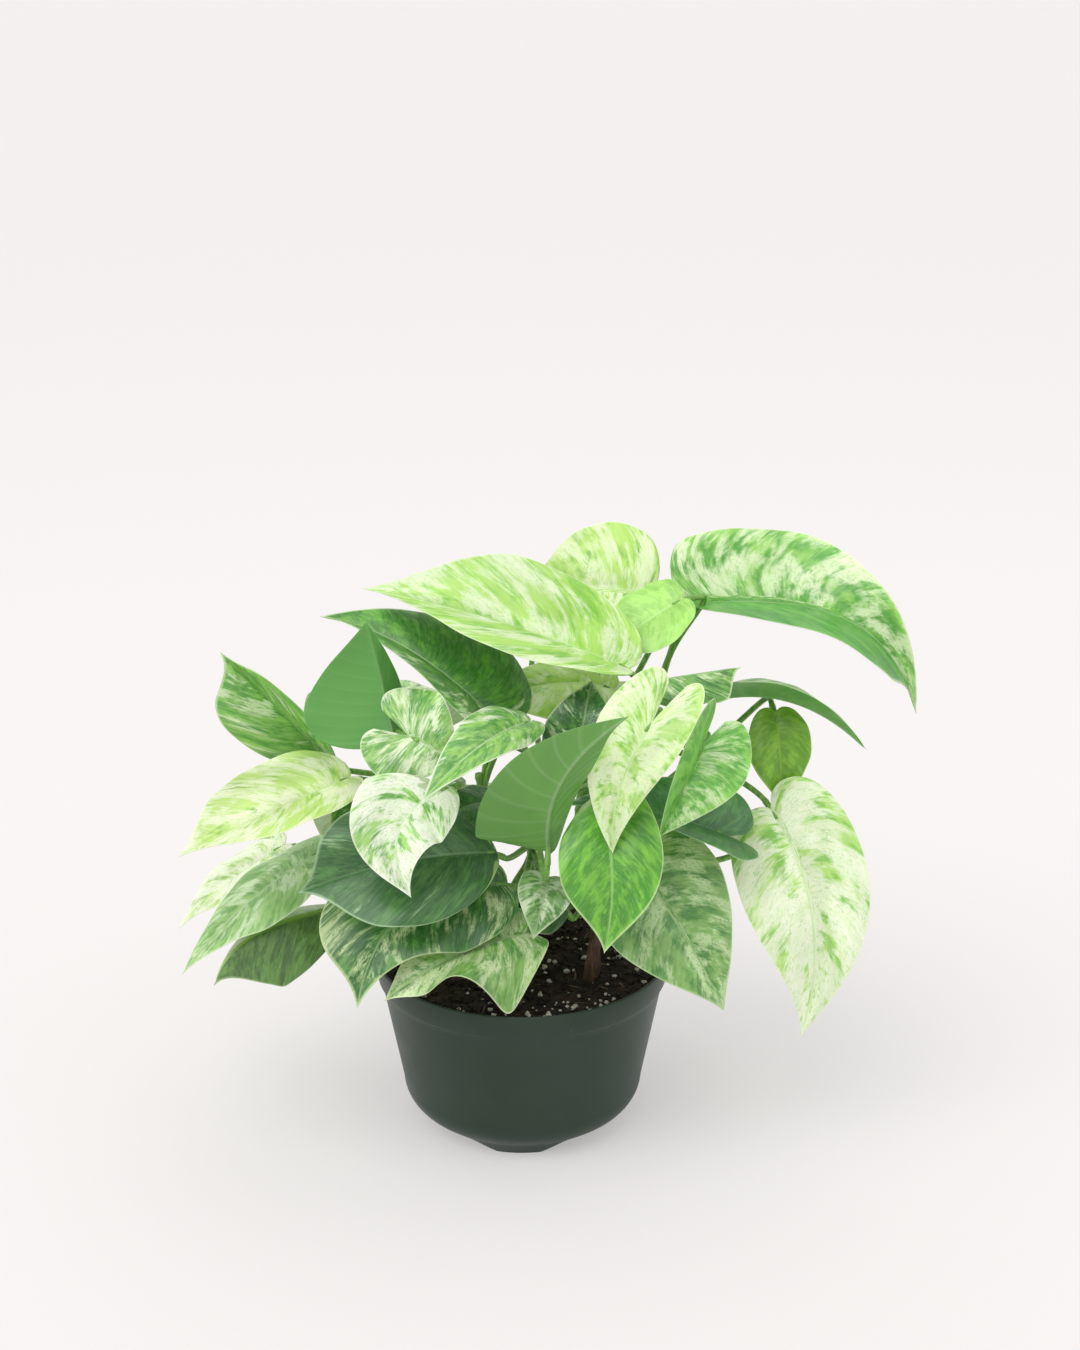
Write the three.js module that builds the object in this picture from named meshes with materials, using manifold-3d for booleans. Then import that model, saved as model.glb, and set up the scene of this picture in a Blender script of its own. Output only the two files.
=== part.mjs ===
// A bushy marble queen pothos in a round nursery pot. Millimetres, +Z up. The origin is the middle of the
// pot's foot, -Y is the side that the plant shows best, and +X is to the right of someone who looks at it.
// Each leaf blade is a node, with the thick joint under it, and so is each stem with its petioles.
import * as THREE from "three";
import { mergeVertices } from "three/addons/utils/BufferGeometryUtils.js";
import Module from "manifold-3d";

const wasm = await Module();
wasm.setup();

// Driving dimensions
const CLEARANCE = 0.3; // between pieces that touch
const FINEST = 0.03; // shorter edges, which joins and cuts leave, are closed up
const POT = {
  height: 96,
  rimRadius: 79.5,
  rimBand: 13, // height of the wider band under the lip
  rimStep: 1.6, // how far the band stands out of the wall
  rimWall: 2.2, // thickness of the lip
  lip: 1, // bevel of the lip's outer edge
  rimDraft: 0.1, // radius lost per millimetre down
  wallDraft: 0.19,
  wall: 1.6,
  corner: 18, // radius of the rounded lower edge
  floor: 2,
  lift: 5.5, // height of the feet under the floor
  sides: 36,
};
const PAD = { radius: 30, slope: 5 }; // the middle of the floor, which is level with the feet
const FEET = { count: 4, turn: -2, inner: 38, overhang: 4, gap: 52, arch: 15, archSides: 6 };
const DRAIN = { radius: 4, place: 43, sides: 8 };
const SOIL = { top: 91, mound: 4, crumb: 1, rings: 4, sides: 28 };
const STEM = { radius: 2.7, topRadius: 2.1, sides: 7, steps: 6, rootDepth: 28, oldShare: 0.42 };
const PETIOLE = {
  lowRadius: 1.9,
  highRadius: 1.5,
  highest: 0.95, // how far up its stem the first leaf's petiole leaves
  spacing: 0.0025, // how much lower each later one does
  reach: 0.25, // how far it runs on straight at each end, against its length
  sides: 4,
  steps: 5,
};
const JOINT = { length: 7, radius: 1.8, dip: 40, root: 5, knee: 1.5, sides: 4 }; // under each blade
const BLADE = {
  thickness: 0.7,
  keel: 0.9, // depth of the midrib under the blade at the joint
  veinBow: 0.05, // how far the side veins bow back, against the length
  hookRise: 2.1, // brings the rise of a hook, t - t ** 4, to about one at its highest
  waves: 11, // radians of wave along each margin
  waveLag: 2.4, // radians by which the right margin's waves lag
  phaseStep: 1.3, // radians from each leaf's waves to the next one's
};

const COLOURS = {
  pot: 0x36483b,
  soil: 0x2b221d,
  stem: 0x5d8a35,
  cream: 0xdfe6b4,
  marbled: 0x8fb56b,
  lime: 0xa5cf55,
  plain: 0x3f8a45,
  dark: 0x2c6b3c,
};

const radians = THREE.MathUtils.degToRad;
const vector = (list) => new THREE.Vector3(...list);
const point2 = (x, y) => new THREE.Vector2(x, y);

// Solids and meshes
function toSolid(geometry) {
  const bare = new THREE.BufferGeometry();
  bare.setAttribute("position", geometry.getAttribute("position"));
  bare.setIndex(geometry.index);
  const merged = mergeVertices(bare, 1e-4);
  return new wasm.Manifold(
    new wasm.Mesh({
      numProp: 3,
      vertProperties: new Float32Array(merged.attributes.position.array),
      triVerts: new Uint32Array(merged.index.array),
    }),
  );
}

function toGeometry(solid) {
  const mesh = solid.simplify(FINEST).getMesh();
  const geometry = new THREE.BufferGeometry();
  geometry.setAttribute("position", new THREE.BufferAttribute(mesh.vertProperties, 3));
  geometry.setIndex(new THREE.BufferAttribute(mesh.triVerts, 1));
  geometry.computeVertexNormals();
  return geometry;
}

function named(name, solid, colour, roughness) {
  const material = new THREE.MeshStandardMaterial({ color: colour, roughness, metalness: 0 });
  const mesh = new THREE.Mesh(toGeometry(solid), material);
  mesh.name = name;
  return mesh;
}

// A round body of revolution about Z from a profile of [radius, height] pairs that starts and ends on it
function turned(profile, sides) {
  const lathe = new THREE.LatheGeometry(profile.map(([r, z]) => point2(r, z)), sides);
  return toSolid(lathe.rotateX(Math.PI / 2));
}

// A tube along a curve, closed at both ends, with radiusAt giving its radius from 0 to 1 along it. Its corners
// are turned by an angle, so that tubes that leave one place side by side share no faces.
function tube(curve, radiusAt, sides, steps, turn = 0) {
  const frames = curve.computeFrenetFrames(steps, false);
  const positions = [];
  const faces = [];
  for (let i = 0; i <= steps; i++) {
    const centre = curve.getPointAt(i / steps);
    for (let k = 0; k < sides; k++) {
      const angle = (2 * Math.PI * k) / sides + turn;
      const out = frames.normals[i].clone().multiplyScalar(Math.cos(angle));
      out.addScaledVector(frames.binormals[i], Math.sin(angle));
      positions.push(...centre.clone().addScaledVector(out, radiusAt(i / steps)).toArray());
    }
  }
  const at = (i, k) => i * sides + (k % sides);
  for (let i = 0; i < steps; i++) {
    for (let k = 0; k < sides; k++) {
      faces.push(at(i, k), at(i, k + 1), at(i + 1, k + 1), at(i, k), at(i + 1, k + 1), at(i + 1, k));
    }
  }
  for (let k = 1; k < sides - 1; k++) {
    faces.push(at(0, 0), at(0, k + 1), at(0, k), at(steps, 0), at(steps, k), at(steps, k + 1));
  }
  const geometry = new THREE.BufferGeometry();
  geometry.setAttribute("position", new THREE.Float32BufferAttribute(positions, 3));
  geometry.setIndex(faces);
  return toSolid(geometry);
}

// The pot
const bandFoot = POT.height - POT.rimBand;
const bandFootRadius = POT.rimRadius - POT.rimBand * POT.rimDraft;
const wallTopRadius = bandFootRadius - POT.rimStep;
const wallRadius = (z) => wallTopRadius - (bandFoot - z) * POT.wallDraft;
const footRadius = wallRadius(POT.lift + POT.corner) - POT.corner;
const innerRadius = (z) => wallRadius(z) - POT.wall;

// Points of the rounded lower edge, for the outside or, with an inset, for the inside
function cornerArc(inset, base) {
  const steps = 4;
  return Array.from({ length: steps + 1 }, (_, i) => {
    const angle = (Math.PI / 2) * (i / steps);
    const radius = POT.corner - inset;
    return [footRadius + radius * Math.sin(angle), base + radius * (1 - Math.cos(angle))];
  });
}

// Points from the axis over the pad and up its sloping edge
function padEdge(inset, base) {
  return [
    [0, base],
    [PAD.radius - inset, base],
    [PAD.radius + PAD.slope - inset, POT.lift + base],
  ];
}

function makePot() {
  const shell = turned(
    [
      ...padEdge(0, 0),
      ...cornerArc(0, POT.lift),
      [wallTopRadius, bandFoot - POT.lip],
      [bandFootRadius, bandFoot],
      [POT.rimRadius, POT.height - POT.lip],
      [POT.rimRadius - POT.lip, POT.height],
      [POT.rimRadius - POT.rimWall, POT.height - POT.lip / 3],
      [innerRadius(bandFoot), bandFoot],
      ...cornerArc(POT.wall, POT.lift + POT.floor).reverse(),
      ...padEdge(1, POT.floor).reverse(),
    ],
    POT.sides,
  );
  return betweenFeet(drain).reduce((body, hole) => body.subtract(hole), shell.add(makeFeet()));
}

// Copies of a solid that lies along +X, turned to every gap between two feet
function betweenFeet(make) {
  const turns = Array.from({ length: FEET.count }, (_, i) => FEET.turn - 90 + (360 / FEET.count) * (i + 0.5));
  return turns.map((turn) => toSolid(make().rotateZ(radians(turn))));
}

// The feet: a ring under the rounded edge, whose top is sunk to the middle of the wall, less the gaps
function makeFeet() {
  const sunk = cornerArc(POT.wall / 2, POT.lift + POT.floor / 2).slice(0, 3).reverse();
  const profile = [[FEET.inner, 0], [footRadius + FEET.overhang, 0], ...sunk];
  profile.push([FEET.inner, POT.lift + POT.floor / 2], profile[0]);
  return betweenFeet(gapArch).reduce((ring, gap) => ring.subtract(gap), turned(profile, POT.sides));
}

// A low arch with sloping sides along +X, which is the gap between two feet
function gapArch() {
  const length = POT.rimRadius - FEET.inner / 2;
  const arch = new THREE.CylinderGeometry(1, 1, length, FEET.archSides).rotateZ(Math.PI / 2);
  arch.rotateX(Math.PI / FEET.archSides).scale(1, FEET.gap / 2, FEET.arch);
  return arch.translate(POT.rimRadius - length / 2, 0, 0);
}

function drain() {
  const hole = new THREE.CylinderGeometry(DRAIN.radius, DRAIN.radius, 4 * POT.floor, DRAIN.sides);
  return hole.rotateX(Math.PI / 2).translate(DRAIN.place, 0, POT.lift + POT.floor / 2);
}

// The soil: a plug with a slightly mounded, crumbly top
function makeSoil(stems) {
  const base = POT.floor + CLEARANCE;
  const edge = (z) => innerRadius(z) - 2 * CLEARANCE;
  const positions = [];
  const faces = [];
  const ring = (radius, heightAt) => {
    for (let k = 0; k < SOIL.sides; k++) {
      const angle = (2 * Math.PI * k) / SOIL.sides;
      const [x, y] = [radius * Math.cos(angle), radius * Math.sin(angle)];
      positions.push(x, y, heightAt(x, y));
    }
  };
  const crumbs = (x, y) => SOIL.crumb * (Math.sin(x * 0.31 + y * 0.17) + Math.sin(y * 0.43 - x * 0.12 + 1));
  const surface = (x, y) => {
    const share = Math.hypot(x, y) / edge(SOIL.top);
    return SOIL.top + SOIL.mound * (1 - share * share) + crumbs(x, y) * (1 - share ** 4);
  };
  const side = [...padEdge(1.5, base).slice(1), ...cornerArc(POT.wall + 3 * CLEARANCE, POT.lift + base)];
  for (const [radius, z] of side) ring(radius, () => z);
  for (let i = SOIL.rings; i > 0; i--) ring((edge(SOIL.top) * i) / SOIL.rings, surface);
  const count = SOIL.rings + side.length;
  const at = (i, k) => i * SOIL.sides + (k % SOIL.sides);
  for (let i = 0; i < count - 1; i++) {
    for (let k = 0; k < SOIL.sides; k++) {
      faces.push(at(i, k), at(i, k + 1), at(i + 1, k + 1), at(i, k), at(i + 1, k + 1), at(i + 1, k));
    }
  }
  const bottom = positions.length / 3;
  positions.push(0, 0, base, 0, 0, surface(0, 0));
  for (let k = 0; k < SOIL.sides; k++) {
    faces.push(bottom, at(0, k + 1), at(0, k), bottom + 1, at(count - 1, k), at(count - 1, k + 1));
  }
  const geometry = new THREE.BufferGeometry();
  geometry.setAttribute("position", new THREE.Float32BufferAttribute(positions, 3));
  geometry.setIndex(faces);
  return stems.reduce((soil, stem) => soil.subtract(stemTube(stem, CLEARANCE)), toSolid(geometry));
}

// The margin of half a blade that is one long and one half-width wide: round the lobe behind the joint to the
// broadest place, then in to the drawn-out tip
const MARGIN = {
  roundShare: 0.4, // share of the margin, from 0 at the joint to 1 at the tip, that goes round the lobe
  sinus: [0.8, 0.2], // where it starts beside the joint, the first against the lobe's reach
  back: [1.3, 0.66], // how far it swings back, in the same terms
  shoulder: 0.24, // how long before the broadest place it has straightened
  broadness: 0.3, // how long after that place it stays broad
  drawn: [0.8, 0.26], // where it is drawn in towards the tip
};

function marginCurve(lobe, broad) {
  const share = MARGIN.roundShare;
  const widest = point2(broad, 1);
  const back = -MARGIN.back[0] * lobe;
  const lobeEnd = point2(-MARGIN.sinus[0] * lobe, MARGIN.sinus[1]);
  const shoulder = point2(Math.max(back, broad - MARGIN.shoulder), 1);
  const round = new THREE.CubicBezierCurve(lobeEnd, point2(back, MARGIN.back[1]), shoulder, widest);
  const after = point2(broad + MARGIN.broadness, 1);
  const taper = new THREE.CubicBezierCurve(widest, after, point2(...MARGIN.drawn), point2(1, 0));
  return (u) => (u < share ? round.getPoint(u / share) : taper.getPoint((u - share) / (1 - share)));
}

const bladeDefaults = {
  face: [-90, 60], // compass and height, in degrees, of the way that the upper side looks
  arch: 10, // rise of the middle of the midrib over the line from joint to tip
  half: [1, 1], // how broad the left and right halves are, against half the width
  fold: [15, 15], // degrees that each half rises from the flat
  curl: [25, 25], // degrees that each half bends down towards its margin
  wave: [2, 2], // height of the waves at each margin
  sweep: 0, // sideways bow of the midrib
  hook: 0, // a second rise of the midrib, nearer the tip, which then drops steeply
  lobe: [0.06, 0.06], // how far each lobe reaches back behind the joint, against the length
  broad: [0.3, 0.3], // how far along each half is broadest
};

// The bent surface of a blade: a function of u from joint to tip along the margin, s from the midrib out to the
// margin, and side, -1 for the left half and 1 for the right one. It also gives the frame along the midrib.
function bladeSurface(leaf) {
  const base = vector(leaf.base);
  const chord = vector(leaf.tip).sub(base);
  const length = chord.length();
  const forward = chord.clone().normalize();
  const [compass, height] = leaf.face.map(radians);
  const up = new THREE.Vector3(
    Math.cos(height) * Math.cos(compass),
    Math.cos(height) * Math.sin(compass),
    Math.sin(height),
  );
  up.addScaledVector(forward, -up.dot(forward)).normalize();
  const across = forward.clone().cross(up);
  const margins = leaf.lobe.map((lobe, half) => marginCurve(lobe, leaf.broad[half]));

  function frameAt(x) {
    const t = Math.max(x, 0);
    const rise = 4 * leaf.arch * t * (1 - t) + BLADE.hookRise * leaf.hook * (t - t ** 4);
    const bow = 4 * leaf.sweep * t * (1 - t);
    const slope = 4 * leaf.arch * (1 - 2 * t) + BLADE.hookRise * leaf.hook * (1 - 4 * t ** 3);
    const drift = 4 * leaf.sweep * (1 - 2 * t);
    const along = forward.clone().multiplyScalar(length).addScaledVector(up, slope).addScaledVector(across, drift);
    const origin = base.clone().addScaledVector(forward, length * t);
    origin.addScaledVector(up, rise).addScaledVector(across, bow).addScaledVector(along, Math.min(x, 0));
    const tangent = along.normalize();
    const normal = up.clone().addScaledVector(tangent, -up.dot(tangent)).normalize();
    return { origin, tangent, normal, side: tangent.clone().cross(normal) };
  }

  function pointAt(u, s, side) {
    const half = side < 0 ? 0 : 1;
    const margin = margins[half](u);
    const rib = u * u;
    const bow = BLADE.veinBow * 4 * s * (1 - s) * margin.y;
    const x = rib + (margin.x - rib) * s - bow;
    const breadth = (leaf.width / 2) * leaf.half[half];
    const distance = margin.y * s * breadth;
    const start = radians(leaf.fold[half]);
    const bend = radians(leaf.curl[half]) / breadth + 1e-9;
    const out = (Math.sin(start) - Math.sin(start - bend * distance)) / bend;
    const lift = (Math.cos(start - bend * distance) - Math.cos(start)) / bend;
    const turn = u * BLADE.waves + leaf.phase + half * BLADE.waveLag;
    const ripple = leaf.wave[half] * (margin.y * s) ** 2 * Math.sin(turn);
    const frame = frameAt(x);
    return frame.origin.addScaledVector(frame.side, side * out).addScaledVector(frame.normal, lift + ripple);
  }
  return { frameAt, pointAt };
}

// Where the thick joint under a blade ends, and which way it points
function jointOf(leaf) {
  const frame = bladeSurface(leaf).frameAt(0);
  const direction = frame.tangent.clone().multiplyScalar(-Math.cos(radians(JOINT.dip)));
  direction.addScaledVector(frame.normal, -Math.sin(radians(JOINT.dip)));
  return { frame, direction, end: frame.origin.clone().addScaledVector(direction, JOINT.length) };
}

// A blade is a grid of rows that follow its side veins. Both faces have the same triangles.
const ROWS = [0, 0.11, 0.22, 0.35, 0.5, 0.65, 0.8, 0.92];
const COLUMNS = [-1, -0.5, 0, 0.5, 1];

function makeLeaf(leaf) {
  const surface = bladeSurface(leaf);
  const grid = ROWS.map((u) => COLUMNS.map((s) => surface.pointAt(u, Math.abs(s), s < 0 ? -1 : 1)));
  const points = [...grid.flat(), surface.pointAt(1, 0, 1)];
  const wide = COLUMNS.length;
  const tip = points.length - 1;
  const sheet = [];
  for (let i = 0; i < ROWS.length - 1; i++) {
    for (let j = 0; j < wide - 1; j++) {
      const [a, b, c, d] = [i * wide + j, i * wide + j + 1, (i + 1) * wide + j + 1, (i + 1) * wide + j];
      if (j < (wide - 1) / 2) sheet.push([a, b, c], [a, c, d]);
      else sheet.push([a, b, d], [b, c, d]);
    }
  }
  const last = (ROWS.length - 1) * wide;
  for (let j = 0; j < wide - 1; j++) sheet.push([last + j, last + j + 1, tip]);

  const normals = points.map(() => new THREE.Vector3());
  for (const [a, b, c] of sheet) {
    const edge = points[b].clone().sub(points[a]);
    const normal = edge.cross(points[c].clone().sub(points[a]));
    for (const i of [a, b, c]) normals[i].add(normal);
  }
  normals.forEach((normal) => normal.normalize());
  const middle = (wide - 1) / 2;
  const upper = points.map((p, i) => p.clone().addScaledVector(normals[i], BLADE.thickness / 2));
  const lower = points.map((p, i) => {
    const onRib = i % wide === middle && i < tip;
    const keel = onRib ? BLADE.keel * (1 - Math.floor(i / wide) / ROWS.length) : 0;
    return p.clone().addScaledVector(normals[i], -BLADE.thickness / 2 - keel);
  });

  const left = ROWS.map((_, i) => i * wide);
  const right = ROWS.map((_, i) => i * wide + wide - 1).reverse();
  const sinus = COLUMNS.map((_, j) => j);
  const rim = [...sinus, ...right.slice(0, -1).reverse(), tip, ...left.slice(1).reverse()];
  const count = points.length;
  const faces = sheet.flatMap(([a, b, c]) => [a, b, c, count + a, count + c, count + b]);
  rim.forEach((a, i) => {
    const b = rim[(i + 1) % rim.length];
    faces.push(a, count + a, b, b, count + a, count + b);
  });
  const geometry = new THREE.BufferGeometry();
  const positions = [...upper, ...lower].flatMap((p) => p.toArray());
  geometry.setAttribute("position", new THREE.Float32BufferAttribute(positions, 3));
  geometry.setIndex(faces);

  const { frame, end } = jointOf(leaf);
  const inside = frame.origin.clone().addScaledVector(frame.tangent, JOINT.root);
  const under = frame.origin.clone().addScaledVector(frame.normal, -JOINT.knee);
  const knee = new THREE.QuadraticBezierCurve3(inside, under, end);
  const neck = tube(knee, (t) => JOINT.radius * (0.5 + 0.5 * t), JOINT.sides, 2);
  return toSolid(geometry).add(neck);
}

// Stems stand in the soil, and a petiole leaves a stem for each of its leaves
function stemCurve(vine) {
  const root = new THREE.Vector3(vine.root[0], vine.root[1], SOIL.top - STEM.rootDepth);
  const top = vector(vine.top);
  const elbow = new THREE.Vector3(root.x, root.y, (root.z + top.z) / 2);
  return new THREE.QuadraticBezierCurve3(root, elbow, top);
}

function stemTube(vine, extra) {
  const swell = (t) => (vine.foot ? (vine.foot - STEM.radius) * Math.max(0, 1 - (t / STEM.oldShare) ** 3) : 0);
  const radiusAt = (t) => STEM.radius + (STEM.topRadius - STEM.radius) * t + swell(t) + extra;
  return tube(stemCurve(vine), radiusAt, STEM.sides, STEM.steps);
}

function petioleTube(vine, leaf) {
  const { direction, end } = jointOf(leaf);
  const stem = stemCurve(vine);
  const from = PETIOLE.highest - PETIOLE.spacing * leaf.order;
  const start = stem.getPointAt(from);
  const finish = end.clone().addScaledVector(direction, CLEARANCE);
  const reach = start.distanceTo(finish) * PETIOLE.reach;
  const leave = start.clone().addScaledVector(stem.getTangentAt(from), reach);
  const arrive = finish.clone().addScaledVector(direction, reach);
  const near = finish.clone().addScaledVector(direction, JOINT.length);
  const route = leaf.via
    ? new THREE.CatmullRomCurve3([start, ...leaf.via.map(vector), near, finish])
    : new THREE.CubicBezierCurve3(start, leave, arrive, finish);
  const radiusAt = (t) => PETIOLE.lowRadius + (PETIOLE.highRadius - PETIOLE.lowRadius) * t;
  return tube(route, radiusAt, PETIOLE.sides, PETIOLE.steps, leaf.phase);
}

const vines = [
  { name: "vine_a", root: [-34, -34], top: [-40, -30, 170] },
  { name: "vine_b", root: [2, -20], top: [6, -14, 170] },
  { name: "vine_c", root: [36, -30], top: [52, -26, 190], foot: 5 }, // an old, thick cane at its foot
  { name: "vine_d", root: [-36, 14], top: [-44, 10, 190] },
  { name: "vine_e", root: [6, 8], top: [10, 4, 205] },
  { name: "vine_f", root: [38, 12], top: [66, 8, 215] },
  { name: "vine_g", root: [-16, 44], top: [-24, 44, 180] },
  { name: "vine_h", root: [26, 46], top: [34, 46, 180] },
];

// Every leaf: its joint with the petiole and its tip, its width, and how it lies
const leaves = [
  // the top
  { vine: "f", look: "lime", base: [55, -23, 264], tip: [-81, 2, 299], width: 76, face: [-90, 62],
    arch: 6, fold: [39, 25], curl: [20, 15], lobe: [0, 0.02], broad: [0.4, 0.42] },
  { vine: "e", look: "dark", base: [-12, -30, 238], tip: [-104, 5, 283], width: 72, face: [-95, 63],
    arch: 12, half: [0.8, 1], fold: [48, 12], hook: 3, lobe: [0, 0.08], broad: [0.15, 0.2] },
  { vine: "e", look: "lime", base: [48, 12, 241], tip: [-22, 0, 236], width: 62, face: [-90, 60],
    half: [1, 0.6] },
  { vine: "h", look: "lime", base: [68, 50, 282], tip: [0, 70, 271], width: 80, face: [-90, 42] },
  { vine: "f", look: "plain", base: [83, 7, 292], tip: [36, -3, 262], width: 42, face: [-90, 62],
    arch: 1, via: [[78, 10, 262]] },
  { vine: "f", look: "marbled", base: [91, 30, 282], tip: [204, -10, 235], width: 88, face: [-85, 70],
    arch: 10, half: [1.06, 0.88], hook: 26, fold: [50, 26], curl: [40, 10], lobe: [0.1, -0.04],
    broad: [0.1, 0.6] },
  { vine: "c", look: "marbled", base: [66, -35, 262], tip: [111, -26, 266], width: 38, face: [-90, 60],
    arch: 0, fold: [-50, 0], lobe: [0, 0], broad: [0.3, 0.6] },
  { vine: "c", look: "plain", base: [88, 0, 236], tip: [177, -25, 221], width: 58, face: [-90, 98],
    arch: 15, fold: [15, 42], lobe: [0.06, 0.12], broad: [0.3, 0.12] },
  { vine: "c", look: "lime", base: [133, 5, 230], tip: [136, -10, 183], width: 34, face: [-80, 10],
    arch: 4, lobe: [0.06, 0.06], broad: [0.36, 0.36], via: [[112, 22, 215]] },
  // the middle
  { vine: "c", look: "cream", base: [64, -80, 257], tip: [45, -95, 194], width: 47, face: [-90, 25],
    arch: 6, half: [0.85, 1], fold: [28, 8], sweep: 6, lobe: [0.4, 0.34], broad: [0.1, 0.1] },
  { vine: "f", look: "cream", base: [130, -18, 185], tip: [147, -45, 67], width: 70, face: [-85, 25],
    sweep: -12, lobe: [0.08, 0.03], broad: [0.26, 0.3] },
  { vine: "c", look: "dark", base: [105, -41, 180], tip: [21, -45, 199], width: 66, face: [-90, 66],
    arch: 6, half: [1, 0.8], fold: [42, 31], lobe: [0.14, 0.16], broad: [0.14, 0.16],
    via: [[86, -36, 163]] },
  { vine: "c", look: "marbled", base: [90, -58, 236], tip: [68, -78, 195], width: 54, face: [-90, 30],
    arch: 4, fold: [10, 74], curl: [25, 0], lobe: [0.4, 0.4], broad: [0.12, 0.12],
    via: [[72, -18, 212]] },
  { vine: "b", look: "plain", base: [14, -76, 187], tip: [51, -116, 273], width: 72, face: [90, -20],
    arch: -6, half: [0.3, 1], fold: [40, 5], sweep: 12, lobe: [0, -0.02], broad: [0.5, 0.08],
    via: [[8, -44, 180]] },
  { vine: "b", look: "dark", base: [27, -45, 220], tip: [36, -25, 259], width: 38, face: [-90, 30] },
  { vine: "b", look: "lime", base: [38, -72, 216], tip: [41, -105, 145], width: 52, face: [-90, 30],
    sweep: -5, lobe: [0.06, -0.1], broad: [0.38, 0.45] },
  // the left side
  { vine: "d", look: "marbled", base: [-98, -8, 207], tip: [-152, -23, 273], width: 54, face: [-90, 35],
    arch: 4, fold: [5, 82], curl: [35, 0], lobe: [-0.1, -0.1], broad: [0.62, 0.6] },
  { vine: "d", look: "cream", base: [-87, -35, 210], tip: [-171, -70, 181], width: 58, face: [-90, 68],
    arch: 2, fold: [30, 25], lobe: [0.04, 0], broad: [0.3, 0.45] },
  { vine: "d", look: "cream", base: [-129, 15, 150], tip: [-185, -5, 110], width: 40, face: [-90, 85],
    arch: 3 },
  { vine: "d", look: "marbled", base: [-104, -25, 165], tip: [-176, -50, 106], width: 54, face: [-100, 85],
    arch: 6, fold: [5, 5] },
  { vine: "a", look: "dark", base: [-100, -35, 136], tip: [-160, -50, 99], width: 60, face: [-90, 68],
    arch: 8, hook: 8, fold: [-32, -32], curl: [20, 10], broad: [0.5, 0.4] },
  { vine: "b", look: "dark", base: [-12, -55, 177], tip: [-111, -80, 166], width: 72, face: [-90, 55],
    half: [1, 0.85], fold: [5, 42], lobe: [-0.05, -0.1], broad: [0.5, 0.6] },
  { vine: "b", look: "dark", base: [-12, -28, 190], tip: [-42, -43, 185], width: 46, face: [-90, 60],
    half: [1, 0.6] },
  { vine: "c", look: "dark", base: [24, -37, 136], tip: [2, -31, 150], width: 42, face: [-90, 50],
    arch: 2, half: [1, 0.6] },
  { vine: "d", look: "cream", base: [-34, -75, 221], tip: [-53, -101, 173], width: 54, face: [-90, 30],
    half: [0.8, 1], sweep: 16, lobe: [0, -0.25], broad: [0.35, 0.35] },
  { vine: "e", look: "marbled", base: [5, -45, 244], tip: [-48, -100, 222], width: 46, face: [-90, 60],
    half: [0.7, 0.75], fold: [24, 15], lobe: [0, 0] },
  { vine: "a", look: "marbled", base: [-55, -63, 243], tip: [-30, -69, 230], width: 52, face: [-95, 30],
    arch: 3, fold: [10, 10], lobe: [0.8, 0.75], broad: [0.05, 0.05], via: [[-52, -50, 215]] },
  { vine: "a", look: "plain", base: [-63, -50, 235], tip: [-76, -46, 297], width: 84, face: [90, -20],
    half: [0.3, 1], fold: [60, 0], lobe: [0, 0] },
  { vine: "e", look: "plain", base: [-32, 15, 268], tip: [-60, 0, 275], width: 22, face: [-90, 70],
    arch: 4 },
  { vine: "b", look: "dark", base: [-7, -50, 157], tip: [-82, -92, 108], width: 70, face: [-90, 50],
    sweep: 20, lobe: [0.04, -0.05], broad: [0.3, 0.6] },
  { vine: "b", look: "marbled", base: [2, -61, 135], tip: [-69, -84, 108], width: 56, face: [-90, 60],
    wave: [30, 3], phase: 1, via: [[-6, -38, 142]] },
  { vine: "b", look: "marbled", base: [14, -58, 164], tip: [6, -80, 140], width: 28, face: [-90, 25] },
  { vine: "c", look: "marbled", base: [51, -45, 176], tip: [104, -70, 95], width: 72, face: [-80, 40] },
  { vine: "d", look: "marbled", base: [-69, -30, 193], tip: [-98, -50, 181], width: 36, face: [-90, 60] },
  // the far side
  { vine: "d", look: "marbled", base: [-60, 40, 225], tip: [-125, 85, 195], width: 64, face: [120, 60] },
  { vine: "g", look: "dark", base: [-20, 60, 212], tip: [-55, 130, 165], width: 66, face: [100, 50] },
  { vine: "h", look: "cream", base: [30, 65, 222], tip: [45, 140, 175], width: 68, face: [80, 50] },
  { vine: "h", look: "dark", base: [78, 60, 195], tip: [125, 105, 150], width: 64, face: [60, 50] },
  { vine: "h", look: "marbled", base: [50, 60, 175], tip: [75, 110, 115], width: 62, face: [60, 45] },
  { vine: "g", look: "lime", base: [-25, 60, 165], tip: [-35, 120, 110], width: 64, face: [95, 45] },
  { vine: "g", look: "cream", base: [-70, 45, 165], tip: [-115, 90, 115], width: 58, face: [130, 50] },
  { vine: "g", look: "marbled", base: [5, 55, 250], tip: [-10, 115, 235], width: 58, face: [90, 65] },
  { vine: "h", look: "dark", base: [85, 30, 165], tip: [125, 60, 110], width: 54, face: [30, 45] },
].map((leaf, order) => ({ ...bladeDefaults, phase: order * BLADE.phaseStep, ...leaf, order }));

const plant = new THREE.Group();
plant.add(named("pot", makePot(), COLOURS.pot, 0.5));
plant.add(named("soil", makeSoil(vines), COLOURS.soil, 1));
for (const vine of vines) {
  const own = leaves.filter((leaf) => `vine_${leaf.vine}` === vine.name);
  const solid = own.reduce((sum, leaf) => sum.add(petioleTube(vine, leaf)), stemTube(vine, 0));
  const [body] = solid.decompose().sort((a, b) => b.volume() - a.volume());
  plant.add(named(vine.name, body, COLOURS.stem, 0.6));
}
for (const leaf of leaves) {
  const name = `leaf_${String(leaf.order + 1).padStart(2, "0")}`;
  plant.add(named(name, makeLeaf(leaf), COLOURS[leaf.look], 0.45));
}

export default plant;
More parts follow.
